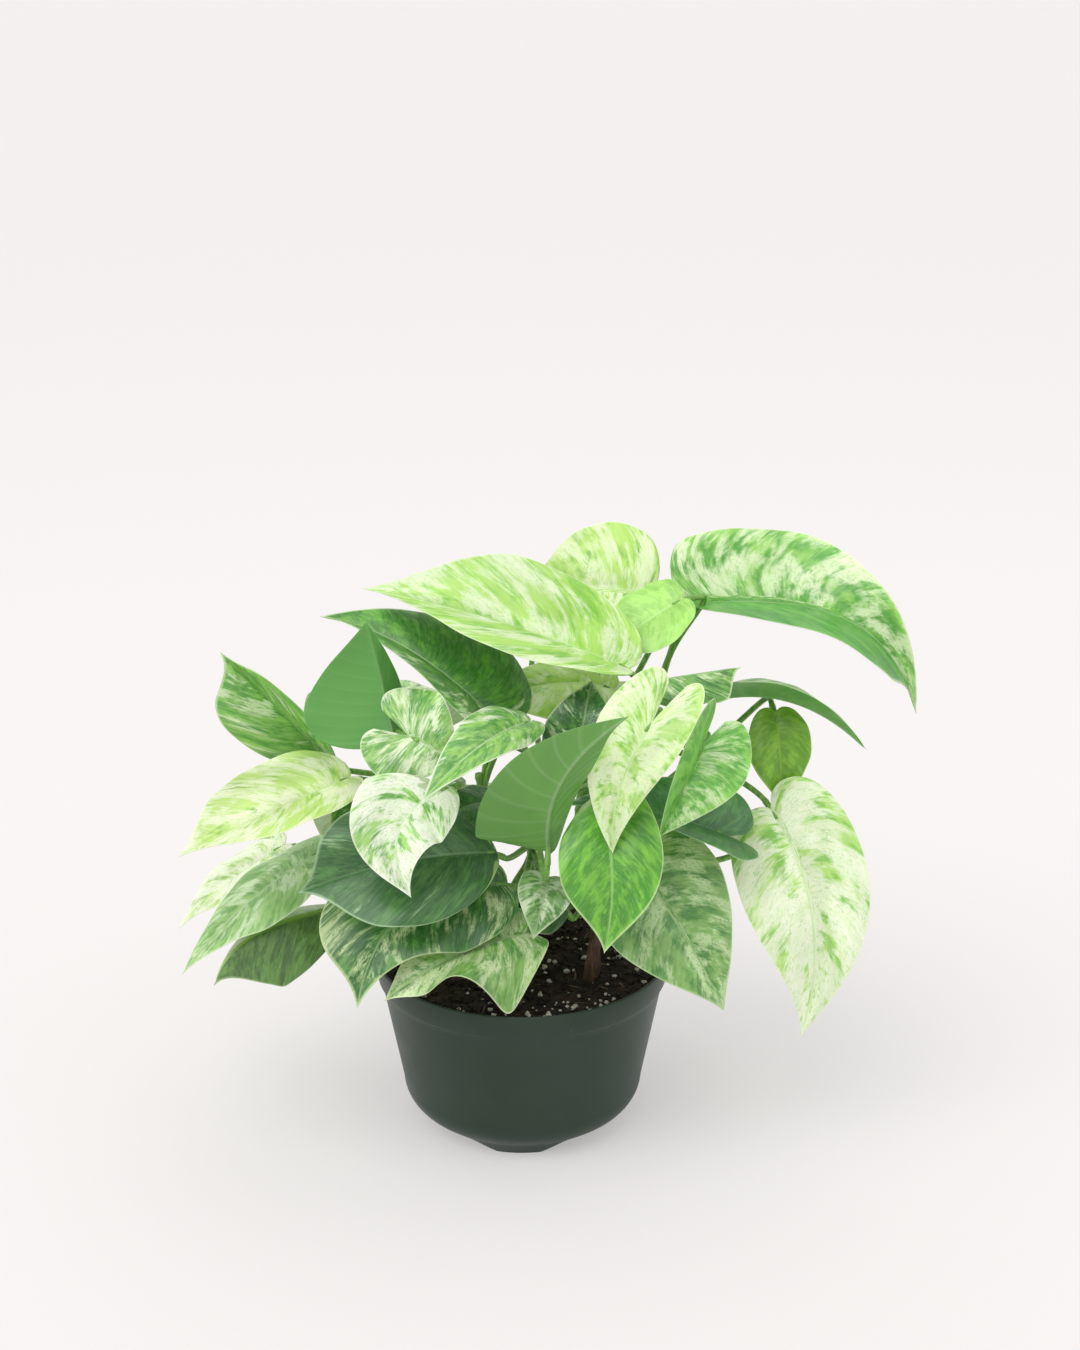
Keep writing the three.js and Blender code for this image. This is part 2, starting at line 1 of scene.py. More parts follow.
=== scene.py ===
import math
import random
import bmesh
import bpy
import numpy as np
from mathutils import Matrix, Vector, noise


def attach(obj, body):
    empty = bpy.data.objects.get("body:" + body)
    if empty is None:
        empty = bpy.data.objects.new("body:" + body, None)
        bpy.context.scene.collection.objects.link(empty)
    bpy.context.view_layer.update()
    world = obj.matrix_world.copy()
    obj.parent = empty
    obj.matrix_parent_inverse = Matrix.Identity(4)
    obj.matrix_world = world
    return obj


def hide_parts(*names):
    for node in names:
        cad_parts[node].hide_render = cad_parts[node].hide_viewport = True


# A potted marble queen pothos. Sizes are in millimetres, and meshes are scaled to metres as they are made.
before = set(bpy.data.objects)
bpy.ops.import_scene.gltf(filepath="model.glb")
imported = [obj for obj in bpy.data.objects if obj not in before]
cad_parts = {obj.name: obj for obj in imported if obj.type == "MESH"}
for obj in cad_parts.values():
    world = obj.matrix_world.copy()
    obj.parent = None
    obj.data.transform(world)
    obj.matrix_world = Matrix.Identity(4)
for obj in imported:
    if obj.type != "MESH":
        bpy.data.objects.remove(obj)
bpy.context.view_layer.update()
mm = 0.001
print("frame loaded:", len(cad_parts), "nodes")


# camera, floor and light
cameraSettings = {
    "place": (9.6, -1072.985, 629.31),
    "pitch": 19.3426,  # degrees down
    "focal": 2194,  # pixels, in a picture that is 1350 pixels tall
    "tall": 1350,
    "sensor": 36,
    "farthest": 30,
}


def addCamera(settings):
    data = bpy.data.cameras.new("photoCamera")
    data.sensor_width = settings["sensor"]
    data.lens = settings["sensor"] * settings["focal"] / settings["tall"]
    data.clip_end = settings["farthest"]
    camera = bpy.data.objects.new("photoCamera", data)
    camera.location = Vector(settings["place"]) * mm
    camera.rotation_euler = (math.radians(90 - settings["pitch"]), 0, 0)
    bpy.context.scene.collection.objects.link(camera)
    bpy.context.scene.camera = camera


studio = {
    "floorSize": 60.0,
    "floorColour": "#b2b0b0",
    "floorGlow": ("#fcfafa", 0.385),  # keeps the shadows on the floor pale
    "world": ("#fdfbf9", 0.84),
    "aim": (0, 0, 0.18),  # where the lamps point
    "sun": {"place": (-0.7, -0.9, 1.9), "angle": 50, "power": 1.25, "colour": "#fffdf9"},
    "boxes": {
        "left": {"place": (-1.6, -0.6, 0.9), "size": 0.9, "power": 3.5, "colour": "#ffffff"},
        "right": {"place": (1.7, -0.5, 1.0), "size": 1.0, "power": 2.5, "colour": "#f4f8ff"},
        "top": {"place": (0.2, 0.5, 1.9), "size": 1.3, "power": 4, "colour": "#ffffff"},
    },
}


def linear(text):  # "#rrggbb" to linear red, green, blue
    values = [int(text[i : i + 2], 16) / 255 for i in (1, 3, 5)]
    return tuple(v / 12.92 if v <= 0.04045 else ((v + 0.055) / 1.055) ** 2.4 for v in values)


def opaque(text):
    return (*linear(text), 1)


def addLamp(lamp, settings):
    lamp.color = linear(settings["colour"])
    light = bpy.data.objects.new(lamp.name, lamp)
    light.location = settings["place"]
    aim = Vector(studio["aim"]) - light.location
    light.rotation_euler = aim.to_track_quat("-Z", "Y").to_euler()
    bpy.context.scene.collection.objects.link(light)


def addStudio(settings):
    half = settings["floorSize"] / 2
    corners = [(-half, -half, 0), (half, -half, 0), (half, half, 0), (-half, half, 0)]
    mesh = bpy.data.meshes.new("floor")
    mesh.from_pydata(corners, [], [(0, 1, 2, 3)])
    floor = bpy.data.objects.new("floor", mesh)
    bpy.context.scene.collection.objects.link(floor)
    glow, strength = settings["floorGlow"]
    paper = {"Base Color": opaque(settings["floorColour"]), "Roughness": 0.9, "Specular IOR Level": 0.1}
    paper |= {"Emission Color": opaque(glow), "Emission Strength": strength}
    material, _ = newMaterial("floorPaper", paper)
    mesh.materials.append(material)
    world = bpy.data.worlds.new("studio")
    bpy.context.scene.world = world
    world.use_nodes = True
    colour, strength = settings["world"]
    background = world.node_tree.nodes["Background"].inputs
    background["Color"].default_value = opaque(colour)
    background["Strength"].default_value = strength
    sun = settings["sun"]
    lamp = bpy.data.lights.new("sun", "SUN")
    lamp.energy = sun["power"]
    lamp.angle = math.radians(sun["angle"])
    addLamp(lamp, sun)
    for name, box in settings["boxes"].items():
        lamp = bpy.data.lights.new(name, "AREA")
        lamp.size = box["size"]
        lamp.energy = box["power"]
        addLamp(lamp, box)
    bpy.context.scene.view_settings.view_transform = "Standard"


# short ways to put shader nodes together
making = {"tree": None}  # the nodes of the material that is being made


def newMaterial(name, settings):
    material = bpy.data.materials.new(name)
    material.use_nodes = True
    making["tree"] = material.node_tree
    shader = material.node_tree.nodes["Principled BSDF"]
    for key, value in settings.items():
        join(shader, key, value)
    return material, shader


def join(node, key, value):
    if isinstance(value, bpy.types.NodeSocket):
        node.id_data.links.new(value, node.inputs[key])
    else:
        node.inputs[key].default_value = value


def put(kind, inputs, **settings):
    node = making["tree"].nodes.new("ShaderNode" + kind)
    for key, value in settings.items():
        setattr(node, key, value)
    for key, value in inputs.items():
        join(node, key, value)
    return node


def calc(operation, a, b=0.0):
    return put("Math", {0: a, 1: b}, operation=operation).outputs[0]


def times(a, b):
    return calc("MULTIPLY", a, b)


def rise(value, low, high, bottom=0.0, top=1.0):  # a smooth step
    inputs = {"Value": value, "From Min": low, "From Max": high, "To Min": bottom, "To Max": top}
    return put("MapRange", inputs, interpolation_type="SMOOTHSTEP").outputs["Result"]


def tint(share, a, b, mode="MIX"):
    return put("Mix", {0: share, 6: a, 7: b}, data_type="RGBA", blend_type=mode).outputs[2]


def cloud(vector, scale, detail=4.0, roughness=0.6, distortion=0.0):
    inputs = {"Vector": vector, "Scale": scale, "Detail": detail, "Roughness": roughness}
    return put("TexNoise", inputs | {"Distortion": distortion}).outputs[0]


def stretched(vector, x, y, z):
    return put("VectorMath", {0: vector, 1: (x, y, z)}, operation="MULTIPLY").outputs[0]


def weighted(*parts):  # a sum of values, each with its share
    total = 0.0
    for value, share in parts:
        total = calc("ADD", total, times(value, share))
    return total


def threshold(value, cut, width):  # a smooth step about a cut that varies over the surface
    return rise(value, calc("SUBTRACT", cut, width), calc("ADD", cut, width))


def darken(colour, share):
    grey = put("CombineColor", {0: share, 1: share, 2: share}).outputs[0]
    return tint(1, colour, grey, "MULTIPLY")


def read(name):  # an attribute of the mesh
    return put("Attribute", {}, attribute_name=name).outputs


def readParts(name):
    return put("SeparateXYZ", {0: read(name)["Vector"]}).outputs


def bump(shader, height, strength, distance):
    node = put("Bump", {"Height": height, "Strength": strength, "Distance": distance})
    join(shader, "Normal", node.outputs[0])


def objectPlace():
    return put("TexCoord", {}).outputs["Object"]


# short ways to make objects
def addPiece(name, mesh, materials, replaced=()):
    piece = bpy.data.objects.new(name, mesh)
    bpy.context.scene.collection.objects.link(piece)
    for material in materials:
        mesh.materials.append(material)
    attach(piece, "root")
    if replaced:
        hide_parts(*replaced)
    return piece


def meshOf(name, points, faces, attributes=None):
    mesh = bpy.data.meshes.new(name)
    mesh.from_pydata(np.asarray(points, float) * mm, [], faces)
    for key, values in (attributes or {}).items():
        layer = mesh.attributes.new(key, "FLOAT_VECTOR", "POINT")
        layer.data.foreach_set("vector", np.asarray(values, np.float32).ravel())
    mesh.shade_smooth()
    mesh.update()
    return mesh


def ringOf(radius, z, sides, centre=(0, 0)):  # points of a level circle
    angles = [2 * math.pi * k / sides for k in range(sides)]
    return [(centre[0] + radius * math.cos(a), centre[1] + radius * math.sin(a), z) for a in angles]


def bands(rings, sides, start=0):  # the faces between rings of points
    faces = []
    for low in range(start, start + (rings - 1) * sides, sides):
        for k in range(sides):
            n = (k + 1) % sides
            faces.append((low + k, low + n, low + sides + n, low + sides + k))
    return faces


def caps(rings, sides, start=0):  # the faces that close the first and the last ring
    last = start + (rings - 1) * sides
    return [tuple(reversed(range(start, start + sides))), tuple(range(last, last + sides))]


def closed(rings, sides):  # bands, and fans to two points that follow the rings
    first = rings * sides
    end = first - sides
    low = [(first, (k + 1) % sides, k) for k in range(sides)]
    return bands(rings, sides) + low + [(first + 1, end + k, end + (k + 1) % sides) for k in range(sides)]


def turnedMesh(name, profile, sides):  # a body of revolution whose profile starts and ends on the axis
    inner = profile[1:-1]
    points = [p for r, z in inner for p in ringOf(r, z, sides)]
    points += [(0, 0, profile[0][1]), (0, 0, profile[-1][1])]
    return meshOf(name, points, closed(len(inner), sides))


def arc(centre, radius, start, stop, steps):  # points of an arc in the profile's plane, in degrees
    angles = [math.radians(start + (stop - start) * i / steps) for i in range(steps + 1)]
    return [(centre[0] + radius * math.cos(a), centre[1] + radius * math.sin(a)) for a in angles]


# pot
pot = {
    "height": 96,
    "rimRadius": 79.5,
    "rimBand": 13,  # height of the wider band under the lip
    "rimStep": 1.6,  # how far the band stands out of the wall
    "rimWall": 2.2,
    "rimDraft": 0.1,
    "lip": 0.8,  # radius of the rounded lip
    "wallDraft": 0.19,
    "wall": 1.6,
    "corner": 18,  # radius of the rounded lower edge
    "floor": 2,
    "lift": 5.5,  # height of the feet
    "sides": 288,
    "colour": "#233428",
    "scuff": "#2f4035",
    "scratch": "#66766a",
}
pad = {"radius": 30, "slope": 5}  # the middle of the floor, level with the feet
feet = {"count": 4, "turn": -2, "inner": 38, "overhang": 4, "gap": 52, "lean": 1.4, "soft": 0.8, "flat": 0.03}
drain = {"radius": 4, "place": 43, "depth": 10, "sides": 24}

bandFoot = pot["height"] - pot["rimBand"]
bandFootRadius = pot["rimRadius"] - pot["rimBand"] * pot["rimDraft"]
wallTopRadius = bandFootRadius - pot["rimStep"]


def wallRadius(z):
    return wallTopRadius - (bandFoot - z) * pot["wallDraft"]


def innerRadius(z):
    return wallRadius(z) - pot["wall"]


footRadius = wallRadius(pot["lift"] + pot["corner"]) - pot["corner"]


def potMaterial():
    material, shader = newMaterial("potPlastic", {"Specular IOR Level": 0.3})
    place = objectPlace()
    broad = cloud(place, 18, 4, 0.6)
    fine = cloud(place, 420, 3, 0.6)
    scratches = cloud(stretched(place, 260, 260, 30), 1, 4, 0.7)
    colour = tint(rise(broad, 0.35, 0.7, 0, 0.45), opaque(pot["colour"]), opaque(pot["scuff"]))
    colour = tint(rise(scratches, 0.66, 0.76, 0, 0.12), colour, opaque(pot["scratch"]))
    join(shader, "Base Color", colour)
    join(shader, "Roughness", rise(broad, 0.3, 0.7, 0.36, 0.5))
    bump(shader, weighted((fine, 0.6), (scratches, 1)), 0.12, 0.0004)
    return material


def gapTurns():  # directions of the gaps between the feet
    step = 360 / feet["count"]
    return [math.radians(feet["turn"] - 90 + step * (i + 0.5)) for i in range(feet["count"])]


def acrossGap(x, y):  # how far a point lies from the middle line of the nearest gap
    ahead = [t for t in gapTurns() if x * math.cos(t) + y * math.sin(t) > 0]
    return min(abs(x * math.sin(t) - y * math.cos(t)) for t in ahead)


def softly(a, b, sign):  # the higher of two heights, or the lower one, with a rounded change
    return (a + b + sign * math.hypot(a - b, feet["soft"])) / 2


def underside(x, y):  # height of the pot's lower surface, with its feet
    r = math.hypot(x, y)
    lift = pot["lift"]
    shell = min(lift, max(0, (r - pad["radius"]) / pad["slope"] * lift))
    if r > footRadius:
        shell = lift + pot["corner"] - math.sqrt(pot["corner"] ** 2 - (r - footRadius) ** 2)
    if r < feet["inner"]:
        return shell
    outside = feet["lean"] * (r - footRadius - feet["overhang"])
    foot = max(0, outside, feet["soft"] - (r - feet["inner"]))
    foot = softly(foot, feet["gap"] / 2 - acrossGap(x, y), 1)
    return max(0, softly(shell, foot, -1) - feet["flat"])  # so that the feet end flat


def drainHoles():  # the cutters, as one helper object
    points = []
    faces = []
    n = drain["sides"]
    for turn in gapTurns():
        centre = (drain["place"] * math.cos(turn), drain["place"] * math.sin(turn))
        faces += bands(2, n, len(points)) + caps(2, n, len(points))
        middle = pot["lift"] + pot["floor"] / 2
        for z in (middle - drain["depth"] / 2, middle + drain["depth"] / 2):
            points += ringOf(drain["radius"], z, n, centre)
    helper = bpy.data.objects.new("drainHoles", meshOf("drainHoles", points, faces))
    bpy.context.scene.collection.objects.link(helper)
    return helper


def cutOut(target, helper):
    modifier = target.modifiers.new("cut", "BOOLEAN")
    modifier.operation = "DIFFERENCE"
    modifier.solver = "EXACT"
    modifier.use_self = True
    modifier.object = helper
    graph = bpy.context.evaluated_depsgraph_get()
    mesh = bpy.data.meshes.new_from_object(target.evaluated_get(graph))
    target.modifiers.clear()
    target.data = mesh
    bpy.data.objects.remove(helper)


def potProfile(underRings):  # from the axis under the floor, up the outside and down the inside
    lip = pot["lip"]
    top = pot["height"]
    rim = pot["rimRadius"]
    corner = pot["corner"]
    cornerTop = pot["lift"] + corner
    innerTop = cornerTop + pot["floor"] - pot["wall"]
    rimIn = rim - pot["rimWall"]
    profile = [(0, 0)] + [(r, 0) for r in underRings]
    profile += arc((footRadius, cornerTop), corner, -42, 0, 12)
    profile += [(wallRadius(z), z) for z in (40, 60, 78)]
    profile += [(wallTopRadius - 0.15, bandFoot - 1.6), (wallTopRadius + 0.25, bandFoot - 0.9)]
    profile += [(bandFootRadius - 0.35, bandFoot - 0.25), (bandFootRadius, bandFoot + 0.4)]
    profile += [(rim - 0.5, top - 5)]
    profile += arc((rim - lip, top - lip), lip, 0, 150, 8)
    profile += [(rimIn, top - 1.4), (rimIn - 0.3, top - 6), (innerRadius(bandFoot) + 0.2, bandFoot)]
    profile += arc((footRadius, innerTop), corner - pot["wall"], 0, -90, 22)
    profile += [(pad["radius"] + pad["slope"] - 1, pot["lift"] + pot["floor"])]
    return profile + [(pad["radius"] - 1, pot["floor"]), (0, pot["floor"])]


def addPot():
    underRings = [12, 24, 29, 30, 31, 33, 34.5, 35, 36, 37.9, 38.1, 38.5, 39, 40, 42, 44, 46, footRadius]
    underRings += [48.5, 49.5, 50.5] + [footRadius + feet["overhang"] + 0.6 * i for i in range(15)]
    shell = turnedMesh("pot_shell", potProfile(underRings), pot["sides"])
    for v in shell.vertices[: len(underRings) * pot["sides"]]:
        v.co.z = underside(v.co.x / mm, v.co.y / mm) * mm
    piece = addPiece("pot_shell", shell, [], ["pot"])
    cutOut(piece, drainHoles())
    mesh = piece.data
    mesh.name = "pot_shell"
    mesh.materials.clear()
    mesh.materials.append(potMaterial())
    mesh.shade_smooth()
    mesh.set_sharp_from_angle(angle=math.radians(38))


# soil
soil = {
    "top": 91,  # height at the pot's wall
    "mound": 4,  # how much higher the middle is
    "crumb": 1,  # height of the broad waves
    "rough": 1.1,  # height of the small waves
    "clod": 0.8,
    "calm": 4,  # width of the border where they fade
    "sunk": 0.6,  # how far the border lies lower
    "bare": 2,  # width of the border without loose grains
    "wallGap": 0.6,
    "floorGap": 0.3,
    "cornerGap": 0.9,
    "stepGap": 1.5,  # gap to the step in the pot's floor
    "seed": 11,
    "rings": 70,
    "sides": 220,
}
# loose grains: their number, radii, flatness and how deep they sit, then where perlite shows at the front
crumbs = {"count": 1500, "sizes": (0.7, 2.4), "flat": 0.75, "sink": 0.25}
perlite = {"count": 190, "sizes": (0.7, 2.3), "flat": 0.8, "sink": 0.05}
fibres = {"count": 130, "sizes": (1.5, 5), "flat": 0.3, "sink": 0.05}
seenGrains = [(-14, -70), (-8, -68), (-16, -66), (6, -62), (1, -58), (12, -60), (16, -64), (20, -66)]
seenGrains += [(26, -64), (28, -60), (34, -62), (38, -58), (41, -60), (44, -56), (30, -52), (24, -56)]
seenGrains += [(8, -66), (3, -70), (-30, -66), (-24, -70), (35, -54), (48, -52), (14, -70), (18, -58)]


def soilEdge(z):
    return innerRadius(z) - soil["wallGap"]


def soilHeight(x, y):  # the mound with its broad waves
    share = math.hypot(x, y) / soilEdge(soil["top"])
    waves = math.sin(x * 0.31 + y * 0.17) + math.sin(y * 0.43 - x * 0.12 + 1)
    return soil["top"] + soil["mound"] * (1 - share**2) + soil["crumb"] * waves * (1 - share**4)


def bedHeight(x, y, fromEdge):  # the same with the small waves
    rough = noise.fractal(Vector((x * 0.16, y * 0.16, 3)), 1.0, 2.1, 5)
    clod = noise.noise(Vector((x * 0.45, y * 0.45, 9)))
    settle = min(1, fromEdge / soil["calm"])
    relief = (soil["rough"] * rough + soil["clod"] * clod) * settle
    return soilHeight(x, y) + relief - soil["sunk"] * (1 - settle)


def soilMaterial():
    material, shader = newMaterial("peatMix", {"Roughness": 0.85, "Specular IOR Level": 0.35})
    place = objectPlace()
    broad = cloud(place, 60, 5, 0.7)
    fine = cloud(place, 700, 5, 0.7)
    colour = tint(rise(broad, 0.35, 0.65), opaque("#150f0c"), opaque("#2e231c"))
    colour = tint(rise(fine, 0.55, 0.75, 0, 0.7), colour, opaque("#4a3a2e"))
    join(shader, "Base Color", colour)
    bump(shader, fine, 0.8, 0.0012)
    return material


def perliteMaterial():
    material, shader = newMaterial("perlite", {"Roughness": 0.9})
    fine = cloud(objectPlace(), 900, 4, 0.7)
    colour = tint(rise(fine, 0.4, 0.7), opaque("#8f8a83"), opaque("#d9d6cf"))
    join(shader, "Base Color", colour)
    bump(shader, fine, 0.6, 0.0006)
    return material


def fibreMaterial():
    material, shader = newMaterial("barkFibre", {"Roughness": 0.8})
    fine = cloud(objectPlace(), 500, 4, 0.6)
    colour = tint(fine, opaque("#3a2a1e"), opaque("#7a5f45"))
    join(shader, "Base Color", colour)
    return material


def lumpShapes(finer):  # unit lumps to scatter, as points and faces
    shapes = []
    for k in range(5):
        ball = bmesh.new()
        bmesh.ops.create_icosphere(ball, subdivisions=finer, radius=1)
        for v in ball.verts:
            v.co *= 0.75 + 0.5 * noise.noise(v.co * 1.3 + Vector((k * 7.1, 0, 0)))
        ball.verts.index_update()
        points = np.array([v.co[:] for v in ball.verts])
        shapes.append((points, [[v.index for v in f.verts] for f in ball.faces]))
        ball.free()
    return shapes


def fibreShapes():  # bent slivers, thinner at both ends
    shapes = []
    for bend in (0.1, 0.25, -0.2):
        points = []
        for t in (i / 5 for i in range(6)):
            wide = 0.14 * math.sin(math.pi * (0.08 + 0.84 * t))
            middle = np.array([2 * t - 1, bend * math.sin(math.pi * t), 0.2 * bend * t])
            points += [middle + (0, dy, dz) for dy, dz in ((wide, 0), (0, wide), (-wide, 0), (0, -wide))]
        shapes.append((np.array(points), bands(6, 4) + caps(6, 4)))
    return shapes


def scatter(name, draw, shapes, grains, material, places=()):  # the first grains lie at the given places
    points = []
    faces = []
    total = 0
    radius = soilEdge(soil["top"]) - soil["bare"]
    for i in range(grains["count"]):
        if i < len(places):
            x, y = places[i]
        else:
            r = radius * math.sqrt(draw.random())
            angle = draw.uniform(0, 2 * math.pi)
            x, y = r * math.cos(angle), r * math.sin(angle)
        size = draw.uniform(*grains["sizes"]) * draw.uniform(0.6, 1)
        shape, shapeFaces = shapes[draw.randrange(len(shapes))]
        turn = draw.uniform(0, 2 * math.pi)
        c, s = math.cos(turn), math.sin(turn)
        spin = np.array([[c, -s, 0], [s, c, 0], [0, 0, grains["flat"]]])
        grown = shape @ spin.T * size * np.array([draw.uniform(0.7, 1.3), draw.uniform(0.7, 1.3), 1])
        height = soilHeight(x, y) + size * (grains["flat"] - grains["sink"])
        points.append(grown + np.array([x, y, height]))
        faces += [[total + v for v in f] for f in shapeFaces]
        total += len(shape)
    addPiece(name, meshOf(name, np.concatenate(points), faces), [material])


def addSoil():
    draw = random.Random(soil["seed"])
    rings = soil["rings"]
    sides = soil["sides"]
    edge = soilEdge(soil["top"])
    lowest = pot["floor"] + soil["floorGap"]
    raised = pot["lift"] + lowest
    bend = pot["corner"] - pot["wall"] - soil["cornerGap"]
    step = pad["radius"] - soil["stepGap"]
    lower = [(step, lowest), (step + pad["slope"], raised)]
    lower += arc((footRadius, raised + bend), bend, -90, 0, 4)
    points = [p for r, z in lower for p in ringOf(r, z, sides)]
    for i in range(rings):
        radius = edge * (1 - i / rings)
        points += [(x, y, bedHeight(x, y, edge - radius)) for x, y, _ in ringOf(radius, 0, sides)]
    points += [(0, 0, lowest), (0, 0, soilHeight(0, 0))]
    bed = meshOf("soil_bed", points, closed(len(lower) + rings, sides))
    peat = soilMaterial()
    addPiece("soil_bed", bed, [peat], ["soil"])
    scatter("soil_crumbs", draw, lumpShapes(1), crumbs, peat)
    scatter("perlite_grains", draw, lumpShapes(2), perlite, perliteMaterial(), seenGrains)
    scatter("bark_fibres", draw, fibreShapes(), fibres, fibreMaterial())


# leaves, in the frame's millimetres. A pair is for the left and right half, and a single value for both.
bladeDefaults = {
    "arch": 10,  # rise of the middle of the midrib
    "half": 1,  # how broad each half is, against half the width
    "fold": 15,  # degrees that each half rises
    "curl": 25,  # degrees that each half bends down towards its margin
    "wave": 2,  # height of the waves at each margin
    "sweep": 0,  # sideways bow of the midrib
    "hook": 0,  # a second rise of the midrib, nearer the tip
    "lobe": 0.06,  # how far each lobe reaches back behind the joint
    "broad": 0.3,  # how far along each half is broadest
    "via": None,  # where the petiole passes
}


def halves(values, keys):  # the values with a pair for each of the keys
    return values | {k: values[k] if isinstance(values[k], tuple) else (values[k], values[k]) for k in keys}


# base is the joint with the petiole. face is where the upper side looks, as compass and height in degrees.
def form(vine, base, tip, width, face=(-90, 60), **shape):
    places = {"vine": vine, "base": base, "tip": tip, "width": width, "face": face}
    return places | halves(bladeDefaults | shape, ("half", "fold", "curl", "wave", "lobe", "broad"))


leafForms = [
    # the top
    form("f", (55, -23, 264), (-81, 2, 299), 76, (-90, 62), arch=6, fold=(39, 25), curl=(20, 15),
         lobe=(0, 0.02), broad=(0.4, 0.42)),
    form("e", (-12, -30, 238), (-104, 5, 283), 72, (-95, 63), arch=12, half=(0.8, 1), fold=(48, 12),
         hook=3, lobe=(0, 0.08), broad=(0.15, 0.2)),
    form("e", (48, 12, 241), (-22, 0, 236), 62, half=(1, 0.6)),
    form("h", (68, 50, 282), (0, 70, 271), 80, (-90, 42)),
    form("f", (83, 7, 292), (36, -3, 262), 42, (-90, 62), arch=1, via=[(78, 10, 262)]),
    form("f", (91, 30, 282), (204, -10, 235), 88, (-85, 70), half=(1.06, 0.88), hook=26, fold=(50, 26),
         curl=(40, 10), lobe=(0.1, -0.04), broad=(0.1, 0.6)),
    form("c", (66, -35, 262), (111, -26, 266), 38, arch=0, fold=(-50, 0), lobe=0, broad=(0.3, 0.6)),
    form("c", (88, 0, 236), (177, -25, 221), 58, (-90, 98), arch=15, fold=(15, 42), lobe=(0.06, 0.12),
         broad=(0.3, 0.12)),
    form("c", (133, 5, 230), (136, -10, 183), 34, (-80, 10), arch=4, broad=0.36, via=[(112, 22, 215)]),
    # the middle
    form("c", (64, -80, 257), (45, -95, 194), 47, (-90, 25), arch=6, half=(0.85, 1), fold=(28, 8), sweep=6,
         lobe=(0.4, 0.34), broad=0.1),
    form("f", (130, -18, 185), (147, -45, 67), 70, (-85, 25), sweep=-12, lobe=(0.08, 0.03),
         broad=(0.26, 0.3)),
    form("c", (105, -41, 180), (21, -45, 199), 66, (-90, 66), arch=6, half=(1, 0.8), fold=(42, 31),
         lobe=(0.14, 0.16), broad=(0.14, 0.16), via=[(86, -36, 163)]),
    form("c", (90, -58, 236), (68, -78, 195), 54, (-90, 30), arch=4, fold=(10, 74), curl=(25, 0), lobe=0.4,
         broad=0.12, via=[(72, -18, 212)]),
    form("b", (14, -76, 187), (51, -116, 273), 72, (90, -20), arch=-6, half=(0.3, 1), fold=(40, 5),
         sweep=12, lobe=(0, -0.02), broad=(0.5, 0.08), via=[(8, -44, 180)]),
    form("b", (27, -45, 220), (36, -25, 259), 38, (-90, 30)),
    form("b", (38, -72, 216), (41, -105, 145), 52, (-90, 30), sweep=-5, lobe=(0.06, -0.1),
         broad=(0.38, 0.45)),
    # the left side
    form("d", (-98, -8, 207), (-152, -23, 273), 54, (-90, 35), arch=4, fold=(5, 82), curl=(35, 0),
         lobe=-0.1, broad=(0.62, 0.6)),
    form("d", (-87, -35, 210), (-171, -70, 181), 58, (-90, 68), arch=2, fold=(30, 25), lobe=(0.04, 0),
         broad=(0.3, 0.45)),
    form("d", (-129, 15, 150), (-185, -5, 110), 40, (-90, 85), arch=3),
    form("d", (-104, -25, 165), (-176, -50, 106), 54, (-100, 85), arch=6, fold=5),
    form("a", (-100, -35, 136), (-160, -50, 99), 60, (-90, 68), arch=8, hook=8, fold=-32, curl=(20, 10),
         broad=(0.5, 0.4)),
    form("b", (-12, -55, 177), (-111, -80, 166), 72, (-90, 55), half=(1, 0.85), fold=(5, 42),
         lobe=(-0.05, -0.1), broad=(0.5, 0.6)),
    form("b", (-12, -28, 190), (-42, -43, 185), 46, half=(1, 0.6)),
    form("c", (24, -37, 136), (2, -31, 150), 42, (-90, 50), arch=2, half=(1, 0.6)),
    form("d", (-34, -75, 221), (-53, -101, 173), 54, (-90, 30), half=(0.8, 1), sweep=16, lobe=(0, -0.25),
         broad=0.35),
    form("e", (5, -45, 244), (-48, -100, 222), 46, half=(0.7, 0.75), fold=(24, 15), lobe=0),
    form("a", (-55, -63, 243), (-30, -69, 230), 52, (-95, 30), arch=3, fold=10, lobe=(0.8, 0.75),
         broad=0.05, via=[(-52, -50, 215)]),
    form("a", (-63, -50, 235), (-76, -46, 297), 84, (90, -20), half=(0.3, 1), fold=(60, 0), lobe=0),
    form("e", (-32, 15, 268), (-60, 0, 275), 22, (-90, 70), arch=4),
    form("b", (-7, -50, 157), (-82, -92, 108), 70, (-90, 50), sweep=20, lobe=(0.04, -0.05),
         broad=(0.3, 0.6)),
    form("b", (2, -61, 135), (-69, -84, 108), 56, wave=(30, 3), phase=1, via=[(-6, -38, 142)]),
    form("b", (14, -58, 164), (6, -80, 140), 28, (-90, 25)),
    form("c", (51, -45, 176), (104, -70, 95), 72, (-80, 40)),
    form("d", (-69, -30, 193), (-98, -50, 181), 36),
    # the far side
    form("d", (-60, 40, 225), (-125, 85, 195), 64, (120, 60)),
    form("g", (-20, 60, 212), (-55, 130, 165), 66, (100, 50)),
    form("h", (30, 65, 222), (45, 140, 175), 68, (80, 50)),
    form("h", (78, 60, 195), (125, 105, 150), 64, (60, 50)),
    form("h", (50, 60, 175), (75, 110, 115), 62, (60, 45)),
    form("g", (-25, 60, 165), (-35, 120, 110), 64, (95, 45)),
    form("g", (-70, 45, 165), (-115, 90, 115), 58, (130, 50)),
    form("g", (5, 55, 250), (-10, 115, 235), 58, (90, 65)),
    form("h", (85, 30, 165), (125, 60, 110), 54, (30, 45)),
]

